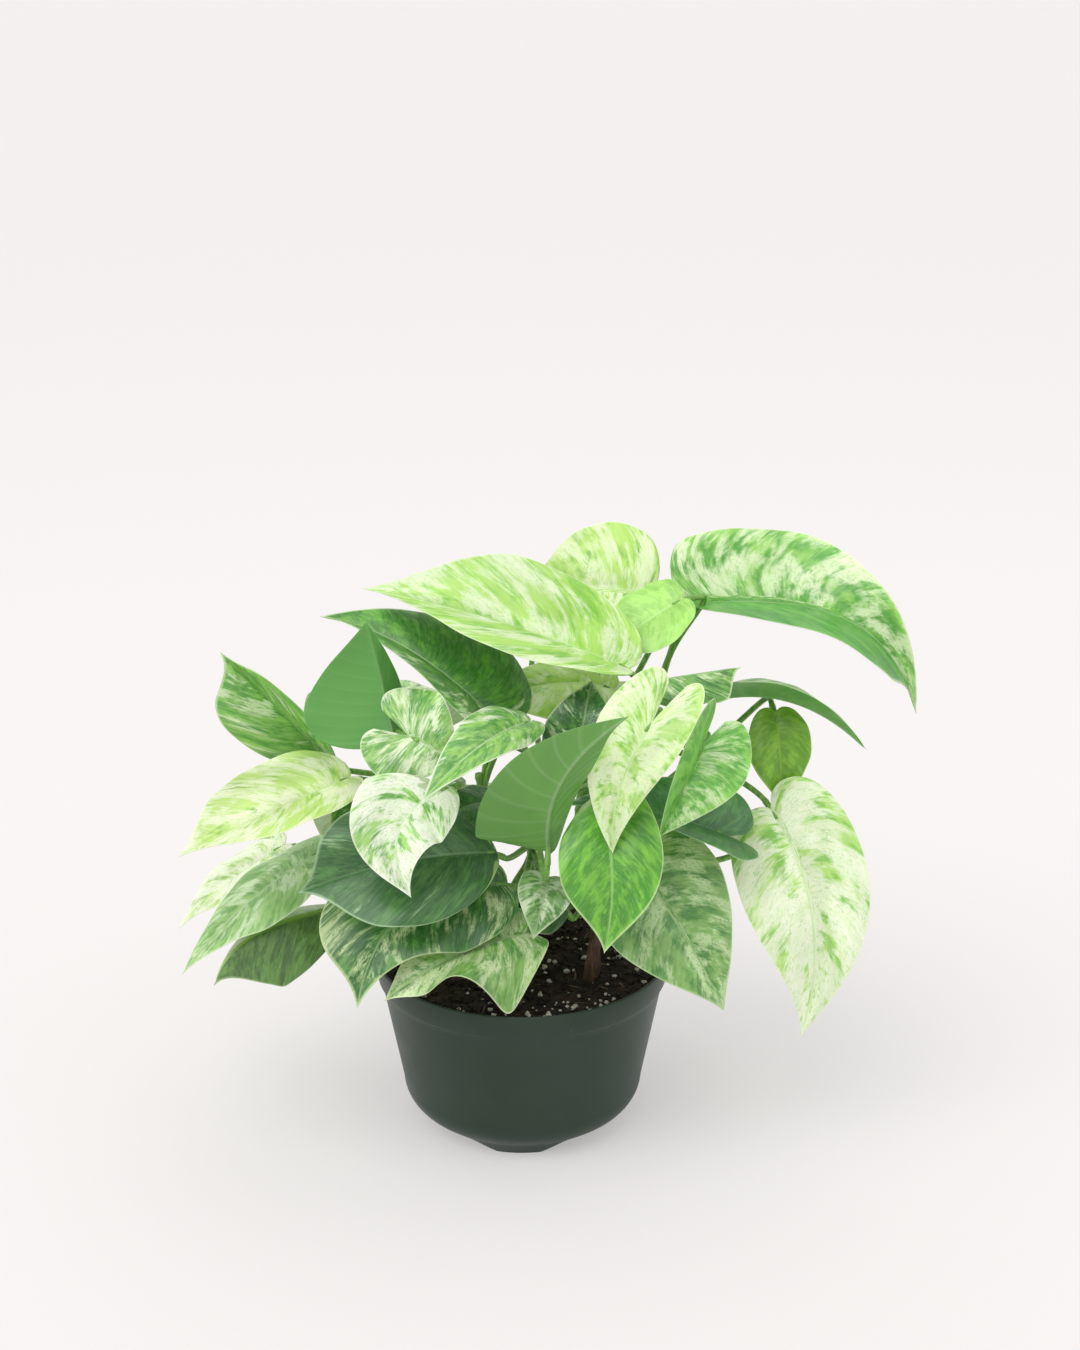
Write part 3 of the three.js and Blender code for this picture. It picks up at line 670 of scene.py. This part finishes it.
# deep is the green of a leaf, mid its lime, pale its cream and back its underside. cream is the share that
# is cream, lime the share of the rest that is lime, and fade how much more cream there is at the tip. edge is
# how pale the margin is, and fleck how strongly green flecks cross the cream.
# In leaves 12, 15 and 21 these tones also carry painted light and shade, noted beside each.
def tones(deep, mid, pale="#e3efc6", cream=0.35, lime=0.5, fade=0.0, edge=0.6, back="#9dbb78", fleck=0.5):
    look = {"deep": deep, "mid": mid, "pale": pale, "cream": cream, "lime": lime}
    look |= {"fade": fade, "edge": edge, "back": back, "fleck": fleck}
    return halves(look, ("deep", "mid", "cream", "lime"))


leafLooks = {
    1: tones("#74b834", "#a0d066", "#dfecca", cream=(0.42, 0.48), lime=(0.6, 0.7)),
    2: tones("#357a28", "#63a83c", "#dcebc4", cream=(0.42, 0.26), lime=(0.4, 0.35), fade=-0.34),
    3: tones("#7fbb3c", "#aed46e", "#e0edc6", cream=0.34, lime=0.7),
    4: tones("#76b13f", "#a9d36e", "#e0eec6", cream=0.42, lime=0.7),
    5: tones("#8cc662", "#a3da78", "#cdeaa8", cream=0.03),
    6: tones(("#4c9c36", "#3b8e38"), ("#86c45a", "#5eab4c"), "#dcecc2", cream=(0.43, 0.03), fade=0.1),
    7: tones("#2f7532", "#6ba84e", "#d8e8ba", cream=0.3),
    8: tones("#6aa84e", "#94c672", "#e2efcc", cream=(0.4, 0.1), back="#5f9f4a"),
    9: tones("#5e9622", "#7cb03a", "#a9cd62", cream=0.08, back="#6fa52e"),
    10: tones("#7cb84a", "#acd87e", "#e0eec6", cream=0.56, lime=0.65),
    11: tones("#7cbd50", "#b0dc84", "#edf6dc", cream=0.54, lime=0.6, fade=0.22),
    # 12: a dark green leaf; its pale tone is the colour of its sheen, so the pale patches, veins and margin
    #     are partly painted sheen
    12: tones("#37733f", "#528f50", "#9fc59a", cream=0.06, lime=0.4),
    13: tones("#52a040", "#82c660", "#d2e9b6", cream=(0.4, 0.06), lime=(0.5, 0.6)),
    14: tones("#4f8a36", "#6aa348", "#e3ecd2", cream=0.02, back="#5c9240"),
    # 15: a dark green leaf, painted darker still with the shade that the leaves above it cast
    15: tones("#245f2c", "#4f8d43", "#cddfb4", cream=0.25, lime=0.3),
    16: tones("#3f8c24", "#72b93c", "#cfe6ac", cream=0.07, lime=0.45),
    17: tones("#529a3e", "#8cc468", "#dcebc6", cream=(0.38, 0.24), fade=-0.1),
    18: tones("#78ad4c", "#b3d680", "#eaf2d2", cream=(0.55, 0.5), lime=0.8),
    19: tones("#82ae6a", "#b4d095", "#e6eed8", cream=0.6, lime=0.7),
    20: tones("#5f9450", "#8ab676", "#c4d9b0", cream=0.4, lime=0.6),
    # 21: one green painted as a lit and a shaded copy: the dark olive left half is painted shade on the half
    #     that hangs down, and the lime right half is painted sunlight on the half that faces up
    21: tones(("#3f6334", "#86b848"), ("#5d8a48", "#a2cb5e"), "#b9cf98", cream=0.1),
    22: tones("#2b5c30", "#4b7e46", "#a4c498", cream=(0.1, 0.16), lime=(0.3, 0.4)),
    23: tones("#2a6a30", "#4a8d42", cream=0.04, lime=0.3),
    24: tones("#2c5c2e", "#4d8040", cream=0.1, lime=0.3),
    25: tones("#58a040", "#9fd080", "#f1f7e6", cream=(0.62, 0.6), lime=0.6),
    26: tones("#4b933c", "#8cc266", "#eff5e2", cream=(0.45, 0.5), fade=-0.5),
    27: tones("#478f38", "#8dbe6a", "#dfeccb", cream=(0.4, 0.45)),
    28: tones("#3f8638", "#5f9f4a", "#a9cf8c", cream=0.02, back="#5fa04c"),
    29: tones("#5f9f48", "#8fc36a", cream=0.1),
    30: tones("#24662a", "#569646", "#cfe0ac", cream=(0.38, 0.36), lime=0.35, fleck=0.9),
    31: tones("#4d8d3e", "#86b868", "#d6e6b8", cream=(0.5, 0.55), edge=0.9, fleck=0.9),
    32: tones("#47803c", "#7aa968", "#cddcbc", cream=0.4),
    33: tones("#45823f", "#7bab64", "#c3dba6", cream=0.46, lime=0.55, fleck=0.9),
    34: tones("#3d8238", "#7db35f", "#dbe9c0", cream=0.3),
    35: tones("#3d8238", "#86bd62", "#e6f0ca", cream=0.4),
    36: tones("#27652f", "#4f9042", "#cfe0b4", cream=0.15, lime=0.3),
    37: tones("#6fab4c", "#abd37e", "#eef4da", cream=(0.6, 0.55), lime=0.7),
    38: tones("#2d6e33", "#5a9a48", "#d3e2b4", cream=0.22),
    39: tones("#448a3a", "#84b960", "#dde9c2", cream=0.36),
    40: tones("#7fb644", "#acd268", "#e2efc2", cream=0.3, lime=0.8),
    41: tones("#74ab52", "#afd388", "#ecf3d8", cream=0.55, lime=0.7),
    42: tones("#47903c", "#84bf60", "#e0ecc6", cream=(0.35, 0.4)),
    43: tones("#2c6a36", "#4f8f48", "#c4d8ac", cream=0.14, lime=0.3),
}

blade = {
    "thickness": 0.55,
    "marginShare": 0.35,  # share of the thickness that is left at the margin
    "thinning": 1.2,  # width of the margin that thins
    "keel": 0.9,  # depth of the midrib under the blade at the joint
    "keelWidth": 1.3,
    "groove": 0.45,  # depth of the channel over the midrib
    "grooveWidth": 1.1,
    "veins": 13,  # side veins in a half
    "veinBow": 0.05,
    "veinDepth": 0.2,
    "veinStart": 5,  # distance from the midrib over which they deepen
    "hookRise": 2.1,  # brings the rise of a hook to about one at its highest
    "waves": 11,  # the waves of a margin, and how far the right half and each next leaf lag behind
    "waveLag": 2.4,
    "leafLag": 1.3,
    "ruffle": 0.5,  # height of the smaller waves
    "ruffles": 31,
    "ruffleLag": 2.3,
    "rows": 64,
    "rowPower": 0.92,
    "columns": 17,  # across one half
    "columnPower": 1.25,
    "seed": 23,
}
margin = {
    "roundShare": 0.4,  # share of the margin that goes round the lobe
    "sinus": (0.8, 0.2),  # where it starts beside the joint, the first against the lobe's reach
    "back": (1.3, 0.66),  # how far it swings back, in the same terms
    "shoulder": 0.24,  # how long before the broadest place it has straightened
    "broadness": 0.3,  # how long after that place it stays broad
    "drawn": (0.8, 0.26),  # where it is drawn in towards the tip
}
joint = {
    "length": 7,
    "radius": 1.8,  # beside the petiole
    "thin": 0.45,  # share of the radius that it has under the blade
    "swell": 0.7,
    "root": 6,  # how far it starts along the midrib
    "knee": 1.4,
    "dip": 40,  # degrees that it bends down
    "gap": 0.3,
    "sides": 14,
    "steps": 16,
}
petiole = {
    "low": 1.9,  # radius at the stem
    "high": 1.5,
    "sheath": 0.7,  # how much thicker it is where it leaves the stem
    "sheathShare": 0.07,  # share of its length
    "highest": 0.95,  # share of the stem's length at which the first one leaves it
    "spacing": 0.0025,  # how much lower that is for each later leaf
    "reach": 0.25,
    "sides": 14,
    "steps": 44,
    "curveSteps": 60,
    "bendSteps": 24,
}
stem = {
    "low": 2.7,  # radius in the soil
    "high": 2.1,
    "rootDepth": 28,
    "oldShare": 0.42,  # share of its length that an old foot takes up
    "brown": 26,  # how high over the soil a stem is green again
    "oldBrown": 60,
    "sides": 18,
    "steps": 90,
    "curveSteps": 200,
    "places": 400,  # where petioles may leave it
}
# the rings that old leaves left
scars = {"count": 9, "first": 0.3, "spacing": 0.085, "height": 0.45, "length": 0.012}

vines = {
    "a": {"root": (-34, -34), "top": (-40, -30, 170)},
    "b": {"root": (2, -20), "top": (6, -14, 170)},
    "c": {"root": (36, -30), "top": (52, -26, 190), "foot": 5},  # an old, thick cane
    "d": {"root": (-36, 14), "top": (-44, 10, 190)},
    "e": {"root": (6, 8), "top": (10, 4, 205)},
    "f": {"root": (38, 12), "top": (66, 8, 215)},
    "g": {"root": (-16, 44), "top": (-24, 44, 180)},
    "h": {"root": (26, 46), "top": (34, 46, 180)},
}


def unit(vectors):
    return vectors / (np.linalg.norm(vectors, axis=-1, keepdims=True) + 1e-12)


def bezier(points, t):  # a Bezier curve of any degree at an array of parameters
    points = [np.asarray(p, float) for p in points]
    degree = len(points) - 1
    t = np.asarray(t, float)[..., None]
    return sum(math.comb(degree, k) * t**k * (1 - t) ** (degree - k) * p for k, p in enumerate(points))


def marginAt(u, lobe, broad):  # the margin of half a blade that is one long and one half-width wide
    share = margin["roundShare"]
    back = -margin["back"][0] * lobe
    sinus = (-margin["sinus"][0] * lobe, margin["sinus"][1])
    shoulder = (max(back, broad - margin["shoulder"]), 1)
    widest = (broad, 1)
    after = (broad + margin["broadness"], 1)
    around = bezier([sinus, (back, margin["back"][1]), shoulder, widest], np.clip(u / share, 0, 1))
    taper = bezier([widest, after, margin["drawn"], (1, 0)], np.clip((u - share) / (1 - share), 0, 1))
    return np.where((u < share)[:, None], around, taper)


def facing(leaf):
    base = np.array(leaf["base"], float)
    chord = np.array(leaf["tip"], float) - base
    length = np.linalg.norm(chord)
    forward = chord / length
    compass, height = np.radians(leaf["face"])
    level = math.cos(height)
    up = np.array([level * math.cos(compass), level * math.sin(compass), math.sin(height)])
    up = unit(up - forward * up.dot(forward))
    return base, length, forward, up, np.cross(forward, up)


def framesAt(leaf, x):  # place, tangent, normal and side along the midrib, for an array of places
    base, length, forward, up, across = facing(leaf)
    x = np.asarray(x, float)[..., None]
    t = np.maximum(x, 0)
    arch = 4 * leaf["arch"]
    sweep = 4 * leaf["sweep"]
    hook = blade["hookRise"] * leaf["hook"]
    slope = arch * (1 - 2 * t) + hook * (1 - 4 * t**3)
    along = forward * length + up * slope + across * sweep * (1 - 2 * t)
    origin = base + forward * length * t + up * (arch * t * (1 - t) + hook * (t - t**4))
    origin = origin + across * sweep * t * (1 - t) + along * np.minimum(x, 0)
    tangent = unit(along)
    normal = unit(up - tangent * (tangent @ up)[..., None])
    return origin, tangent, normal, np.cross(tangent, normal)


def halfSurface(leaf, half, u, s):  # points of one half, half 0 the left one and 1 the right one
    outline = marginAt(u, leaf["lobe"][half], leaf["broad"][half])
    reach = outline[:, 1:2]
    rib = (u**2)[:, None]
    x = rib + (outline[:, 0:1] - rib) * s - blade["veinBow"] * 4 * s * (1 - s) * reach
    breadth = leaf["width"] / 2 * leaf["half"][half]
    distance = reach * s * breadth
    start = math.radians(leaf["fold"][half])
    bend = math.radians(leaf["curl"][half]) / breadth + 1e-9
    out = (math.sin(start) - np.sin(start - bend * distance)) / bend
    lift = (np.cos(start - bend * distance) - math.cos(start)) / bend
    phase = leaf["phase"] + half * blade["waveLag"]
    waves = leaf["wave"][half] * np.sin(u * blade["waves"] + phase)[:, None]
    waves = waves + blade["ruffle"] * np.sin(u * blade["ruffles"] + phase * blade["ruffleLag"])[:, None]
    folds = 0.5 + 0.5 * np.cos(2 * math.pi * blade["veins"] * u)[:, None]  # 1 on each side vein
    quilt = blade["veinDepth"] * (0.4 - folds**3) * np.sin(math.pi * np.clip(s, 0, 1))
    quilt = quilt * np.minimum(distance / blade["veinStart"], 1)
    channel = blade["groove"] * np.exp(-((distance / blade["grooveWidth"]) ** 2))
    height = lift + waves * (reach * s) ** 2 + quilt - channel
    origin, _, normal, side = framesAt(leaf, x)
    sign = 1 if half else -1
    points = origin + side * (sign * out)[..., None] + normal * height[..., None]
    return points, distance, reach * breadth - distance, folds


def centre(share):  # where a noise value near 0.5 is passed by a share of a surface
    share = min(max(share, 0.001), 0.999)
    return 0.5 + 0.11 * math.log((1 - share) / share) / 1.7


def halfLayers(leaf, look, half, u, s):  # the points of a half, then what its material reads at each of them
    points, fromRib, fromEdge, folds = halfSurface(leaf, half, u, s)
    cream = np.array([centre(look["cream"][half] + look["fade"] * t) for t in u])[:, None]
    lime = centre(look["lime"][half])
    # the 0 is the place of the leaf's seed
    values = [(u[:, None], s, float(half)), (cream, lime, 0 * s), (fromRib, fromEdge, folds)]
    layers = [np.stack(np.broadcast_arrays(*triple), -1) for triple in values]
    layers += [np.broadcast_to(linear(look[key][half]), points.shape) for key in ("deep", "mid")]
    return [points, *layers]


def bladeMesh(leaf, look, draw):  # the solid blade, with a wall round its margin
    rows = blade["rows"]
    columns = blade["columns"]
    u = (np.arange(rows) / rows) ** blade["rowPower"]
    s = 1 - (1 - np.arange(columns) / (columns - 1)) ** blade["columnPower"]
    left, right = (halfLayers(leaf, look, half, u, s[None, :]) for half in (0, 1))
    # the left half reversed, then the right half, sharing the midrib, and the tip as the last point
    grids = [np.concatenate([a[:, :0:-1], b], 1) for a, b in zip(left, right)]
    tipPoint = framesAt(leaf, np.array([1.0]))[0]
    layers = [grid.reshape(-1, 3) for grid in grids]
    ends = [tipPoint] + [layer[-1:] for layer in layers[1:]]
    middle, *layers = [np.concatenate(pair) for pair in zip(layers, ends)]
    wide = 2 * columns - 1
    tip = rows * wide
    last = tip - wide
    faces = []
    for low in range(0, last, wide):
        faces += [(a, a + 1, a + wide + 1, a + wide) for a in range(low, low + wide - 1)]
    faces += [(a, a + 1, tip) for a in range(last, tip - 1)]
    normals = unit(np.cross(np.gradient(grids[0], axis=1), np.gradient(grids[0], axis=0))).reshape(-1, 3)
    normals = np.concatenate([normals, normals[last + columns - 1 : last + columns]])
    fromRib, fromEdge, _ = layers[2].T
    thin = blade["marginShare"]
    thick = blade["thickness"] / 2 * (thin + (1 - thin) * np.clip(fromEdge / blade["thinning"], 0, 1))
    ribShare = np.append(np.repeat((u - 1) ** 2, wide), 0)
    keel = (blade["keel"] + blade["groove"]) * np.exp(-((fromRib / blade["keelWidth"]) ** 2)) * ribShare
    upper = middle + normals * thick[:, None]
    lower = middle - normals * (thick + keel)[:, None]
    count = len(upper)
    rim = list(range(wide)) + [i * wide + wide - 1 for i in range(1, rows)] + [tip]
    rim += [i * wide for i in range(rows - 1, 0, -1)]
    under = [tuple(count + v for v in reversed(f)) for f in faces]
    wall = [(a, count + a, count + b, b) for a, b in zip(rim, rim[1:] + rim[:1])]
    names = ["veinPlace", "marbling", "margins", "deepGreen", "midGreen"]
    attributes = {name: np.concatenate([layer, layer]) for name, layer in zip(names, layers)}
    attributes["marbling"][:, 2] = draw.uniform(0, 40)
    finish = np.zeros((2 * count, 3))
    finish[count:, 0] = 1
    finish[:, 1] = look["edge"]
    finish[:, 2] = look["fleck"]
    attributes["finish"] = finish
    for key in ("pale", "back"):
        attributes[key + "Tone"] = np.broadcast_to(linear(look[key]), finish.shape)
    return np.concatenate([upper, lower]), faces + under + wall, attributes


leafShader = {
    "Specular IOR Level": 0.5,
    "Coat Weight": 0.12,
    "Coat Roughness": 0.22,
    "Subsurface Weight": 0.12,
    "Subsurface Radius": (0.6, 1.0, 0.25),
    "Subsurface Scale": 0.0015,
}
leafNoise = {  # how fine across the side veins and along them, shift, detail, roughness and distortion
    "patches": (10, 1.7, 0, 3, 0.55, 0.3),
    "ribbons": (38, 2.4, 5, 5, 0.62, 0.4),
    "hairs": (105, 7, 9, 3, 0.6, 0.2),
    "limes": (13, 2.6, 17, 4, 0.6, 0.3),
    "specks": (80, 30, 41, 2, 0.6, 0.2),
    "shades": (3, 1.2, 31, 2, 0.5, 0),
}


def streaks(kind):  # noise drawn out along the side veins
    across, along, shift, detail, roughness, distortion = leafNoise[kind]
    u, s, half = readParts("veinPlace")
    x = times(u, across)
    y = calc("ADD", times(s, along), shift)
    z = weighted((readParts("marbling")[2], 1), (half, 5.3))
    vector = put("CombineXYZ", {0: x, 1: y, 2: z}).outputs[0]
    return cloud(vector, 1, detail, roughness, distortion)


def leafMaterial():
    material, shader = newMaterial("waxyLeaf", leafShader)
    creamCut, limeCut, _ = readParts("marbling")
    fromRib, fromEdge, folds = readParts("margins")
    under, paleEdge, fleck = readParts("finish")
    colours = ("deepGreen", "midGreen", "paleTone", "backTone")
    deep, mid, pale, back = (read(name)["Color"] for name in colours)
    patches, ribbons, hairs, limes, specks, shades = (streaks(kind) for kind in leafNoise)
    field = weighted((patches, 0.5), (ribbons, 0.38), (hairs, 0.12))
    creamShare = threshold(field, creamCut, 0.055)
    limeShare = threshold(weighted((limes, 0.6), (ribbons, 0.4)), limeCut, 0.08)
    # the green and lime, then the cream with its flecks
    greens = tint(1, tint(limeShare, deep, mid), (1.05, 1.03, 0.8, 1), "MULTIPLY")
    colour = tint(rise(hairs, 0.35, 0.65, 0, 0.16), greens, tint(0.5, mid, pale))
    creams = tint(rise(ribbons, 0.4, 0.65, 0, 0.5), pale, tint(0.45, pale, mid))
    flecks = calc("MAXIMUM", rise(hairs, 0.54, 0.66), rise(specks, 0.57, 0.67))
    flecks = times(flecks, fleck)
    clean = times(creamShare, calc("SUBTRACT", 1, flecks))
    colour = tint(clean, colour, creams)
    # the veins, the midrib, the margin and a slow change of shade
    colour = tint(rise(folds, 0.93, 1, 0, 0.12), colour, pale)
    midrib = rise(fromRib, 0.35, 1, 0.55, 0)
    colour = tint(midrib, colour, tint(0.45, mid, pale))
    paleRim = times(rise(fromEdge, 0.15, 0.65, 1, 0), paleEdge)
    colour = tint(paleRim, colour, pale)
    colour = darken(colour, rise(shades, 0.3, 0.7, 0.86, 1.08))
    # the underside
    beneath = tint(rise(patches, 0.35, 0.65, 0, 0.3), back, mid)
    beneath = tint(times(clean, 0.3), beneath, pale)
    beneath = tint(rise(folds, 0.8, 1, 0, 0.06), beneath, pale)
    beneath = tint(rise(fromRib, 0.3, 1.1, 0.14, 0), beneath, pale)
    join(shader, "Base Color", tint(under, colour, beneath))
    join(shader, "Roughness", weighted((rise(patches, 0.3, 0.7, 0.3, 0.42), 1), (under, 0.16)))
    cells = cloud(objectPlace(), 1400, 2, 0.5)
    bump(shader, weighted((cells, 0.25), (hairs, 0.5)), 0.25, 0.0003)
    return material


def stemMaterial():
    material, shader = newMaterial("greenStem", {})
    age = readParts("age")[0]
    streak = cloud(stretched(objectPlace(), 500, 500, 60), 1, 4, 0.6)
    green = tint(rise(streak, 0.35, 0.7), opaque("#5d9136"), opaque("#86b458"))
    brown = tint(rise(streak, 0.35, 0.7), opaque("#35241a"), opaque("#634a35"))
    ageing = weighted((age, 1), (calc("SUBTRACT", streak, 0.5), 0.5))
    join(shader, "Base Color", tint(rise(ageing, 0.3, 0.7), green, brown))
    join(shader, "Roughness", rise(age, 0.2, 0.9, 0.36, 0.8))
    bump(shader, streak, 0.35, 0.0005)
    return material


# stems and petioles
def evenly(points, count):  # resample a polyline to even steps
    points = np.asarray(points, float)
    lengths = np.concatenate([[0], np.cumsum(np.linalg.norm(np.diff(points, axis=0), axis=1))])
    wanted = np.linspace(0, lengths[-1], count)
    return np.stack([np.interp(wanted, lengths, points[:, k]) for k in range(3)], 1)


def throughPoints(points):  # a centripetal Catmull-Rom curve
    steps = petiole["bendSteps"]
    points = [np.array(p, float) for p in points]
    points = [2 * points[0] - points[1]] + points + [2 * points[-1] - points[-2]]
    out = []
    for p0, p1, p2, p3 in zip(points, points[1:], points[2:], points[3:]):
        d0, d1, d2 = (max(math.sqrt(np.linalg.norm(b - a)), 1e-4) for a, b in ((p0, p1), (p1, p2), (p2, p3)))
        m1 = ((p1 - p0) / d0 - (p2 - p0) / (d0 + d1) + (p2 - p1) / d1) * d1
        m2 = ((p2 - p1) / d1 - (p3 - p1) / (d1 + d2) + (p3 - p2) / d2) * d1
        for k in range(steps):
            t = k / steps
            a, b = 2 * t**3 - 3 * t**2 + 1, t**3 - 2 * t**2 + t
            c, d = -2 * t**3 + 3 * t**2, t**3 - t**2
            out.append(a * p1 + b * m1 + c * p2 + d * m2)
    return out + [points[-2]]


def tubeParts(path, radii, sides, start=0):  # points and faces of a closed tube along a path
    path = np.asarray(path, float)
    tangents = unit(np.gradient(path, axis=0))
    normal = unit(np.cross(tangents[0], (0.3, 0.9, 0.1)))
    points = []
    for i, (centrePoint, tangent) in enumerate(zip(path, tangents)):
        normal = unit(normal - tangent * normal.dot(tangent))
        other = np.cross(tangent, normal)
        for k in range(sides):
            angle = 2 * math.pi * k / sides
            points.append(centrePoint + radii[i] * (normal * math.cos(angle) + other * math.sin(angle)))
    return points, bands(len(path), sides, start) + caps(len(path), sides, start)


def stemPath(vine, count):
    root = (*vine["root"], soil["top"] - stem["rootDepth"])
    elbow = (*vine["root"], (root[2] + vine["top"][2]) / 2)
    return evenly(bezier([root, elbow, vine["top"]], np.linspace(0, 1, stem["curveSteps"])), count)


def jointOf(leaf):  # where the midrib starts, and how the joint runs on from there
    origin, tangent, normal, _ = (v[0] for v in framesAt(leaf, np.array([0.0])))
    dip = math.radians(joint["dip"])
    direction = -tangent * math.cos(dip) - normal * math.sin(dip)
    return origin, tangent, normal, direction, origin + direction * joint["length"]


def neckParts(leaf, start):  # the joint itself, a short thick tube that starts under the midrib
    origin, tangent, normal, _, end = jointOf(leaf)
    along = np.linspace(0, 1, joint["steps"])
    path = bezier([origin + tangent * joint["root"], origin - normal * joint["knee"], end], along)
    radii = joint["radius"] * (joint["thin"] + (1 - joint["thin"]) * along ** joint["swell"])
    return tubeParts(path, radii, joint["sides"], start)


def petiolePath(vine, leaf, order):
    _, _, _, direction, end = jointOf(leaf)
    path = stemPath(vine, stem["places"])
    place = int((petiole["highest"] - petiole["spacing"] * order) * (stem["places"] - 1))
    begin = path[place]
    going = unit(path[place + 1] - path[place - 1])
    finish = end + direction * joint["gap"]
    if leaf["via"]:
        points = throughPoints([begin, *leaf["via"], finish + direction * joint["length"], finish])
    else:
        reach = np.linalg.norm(finish - begin) * petiole["reach"]
        handles = [begin, begin + going * reach, finish + direction * reach, finish]
        points = bezier(handles, np.linspace(0, 1, petiole["curveSteps"]))
    return evenly(points, petiole["steps"])


def stemRadii(vine):
    share = np.linspace(0, 1, stem["steps"])
    old = vine.get("foot", stem["low"]) - stem["low"]
    cane = np.clip(1 - (share / stem["oldShare"]) ** 3, 0, 1)
    radii = stem["low"] + (stem["high"] - stem["low"]) * share + old * cane
    for k in range(scars["count"]):
        distance = share - scars["first"] - scars["spacing"] * k
        radii = radii + scars["height"] * np.exp(-((distance / scars["length"]) ** 2))
    return radii


def addVines(leaves):
    material = stemMaterial()
    along = np.linspace(0, 1, petiole["steps"])
    radii = petiole["low"] + (petiole["high"] - petiole["low"]) * along
    radii = radii + petiole["sheath"] * np.exp(-((along / petiole["sheathShare"]) ** 2))
    for key, vine in vines.items():
        own = [(i, leaf) for i, leaf in enumerate(leaves) if leaf["vine"] == key]
        points, faces = tubeParts(stemPath(vine, stem["steps"]), stemRadii(vine), stem["sides"])
        brown, power = (stem["oldBrown"], 3) if "foot" in vine else (stem["brown"], 1)
        age = [max(0, 1 - ((p[2] - soil["top"]) / brown) ** power) for p in points]
        for order, leaf in own:
            route = petiolePath(vine, leaf, order)
            tube, tubeFaces = tubeParts(route, radii, petiole["sides"], len(points))
            points += tube
            faces += tubeFaces
            age += [0.15 * max(0, 1 - i / len(tube) * 6) for i in range(len(tube))]
        values = np.stack([age, np.zeros(len(age)), np.zeros(len(age))], 1)
        mesh = meshOf(f"stem_{key}", points, faces, {"age": values})
        addPiece(f"stem_{key}", mesh, [material], [f"vine_{key}"])


def addLeaves(leaves):
    draw = random.Random(blade["seed"])
    waxy = leafMaterial()
    green = stemMaterial()
    for number, leaf in enumerate(leaves, 1):
        name = f"blade_{number:02d}"
        points, faces, attributes = bladeMesh(leaf, leafLooks[number], draw)
        neck, neckFaces = neckParts(leaf, len(points))
        blank = np.zeros((len(neck), 3))
        attributes = {key: np.concatenate([values, blank]) for key, values in attributes.items()}
        attributes["age"] = np.zeros((len(points) + len(neck), 3))
        mesh = meshOf(name, np.concatenate([points, neck]), faces + neckFaces, attributes)
        addPiece(name, mesh, [waxy, green], [f"leaf_{number:02d}"])
        materials = np.zeros(len(mesh.polygons), np.int32)
        materials[len(faces) :] = 1
        mesh.polygons.foreach_set("material_index", materials)
        mesh.set_sharp_from_angle(angle=math.radians(70))


addCamera(cameraSettings)
addStudio(studio)
print("camera and studio ready")
addPot()
print("pot made")
addSoil()
print("soil made")
leaves = [{"phase": order * blade["leafLag"], **leaf} for order, leaf in enumerate(leafForms)]
addVines(leaves)
print("stems made")
addLeaves(leaves)
print("leaves made:", len(leaves))
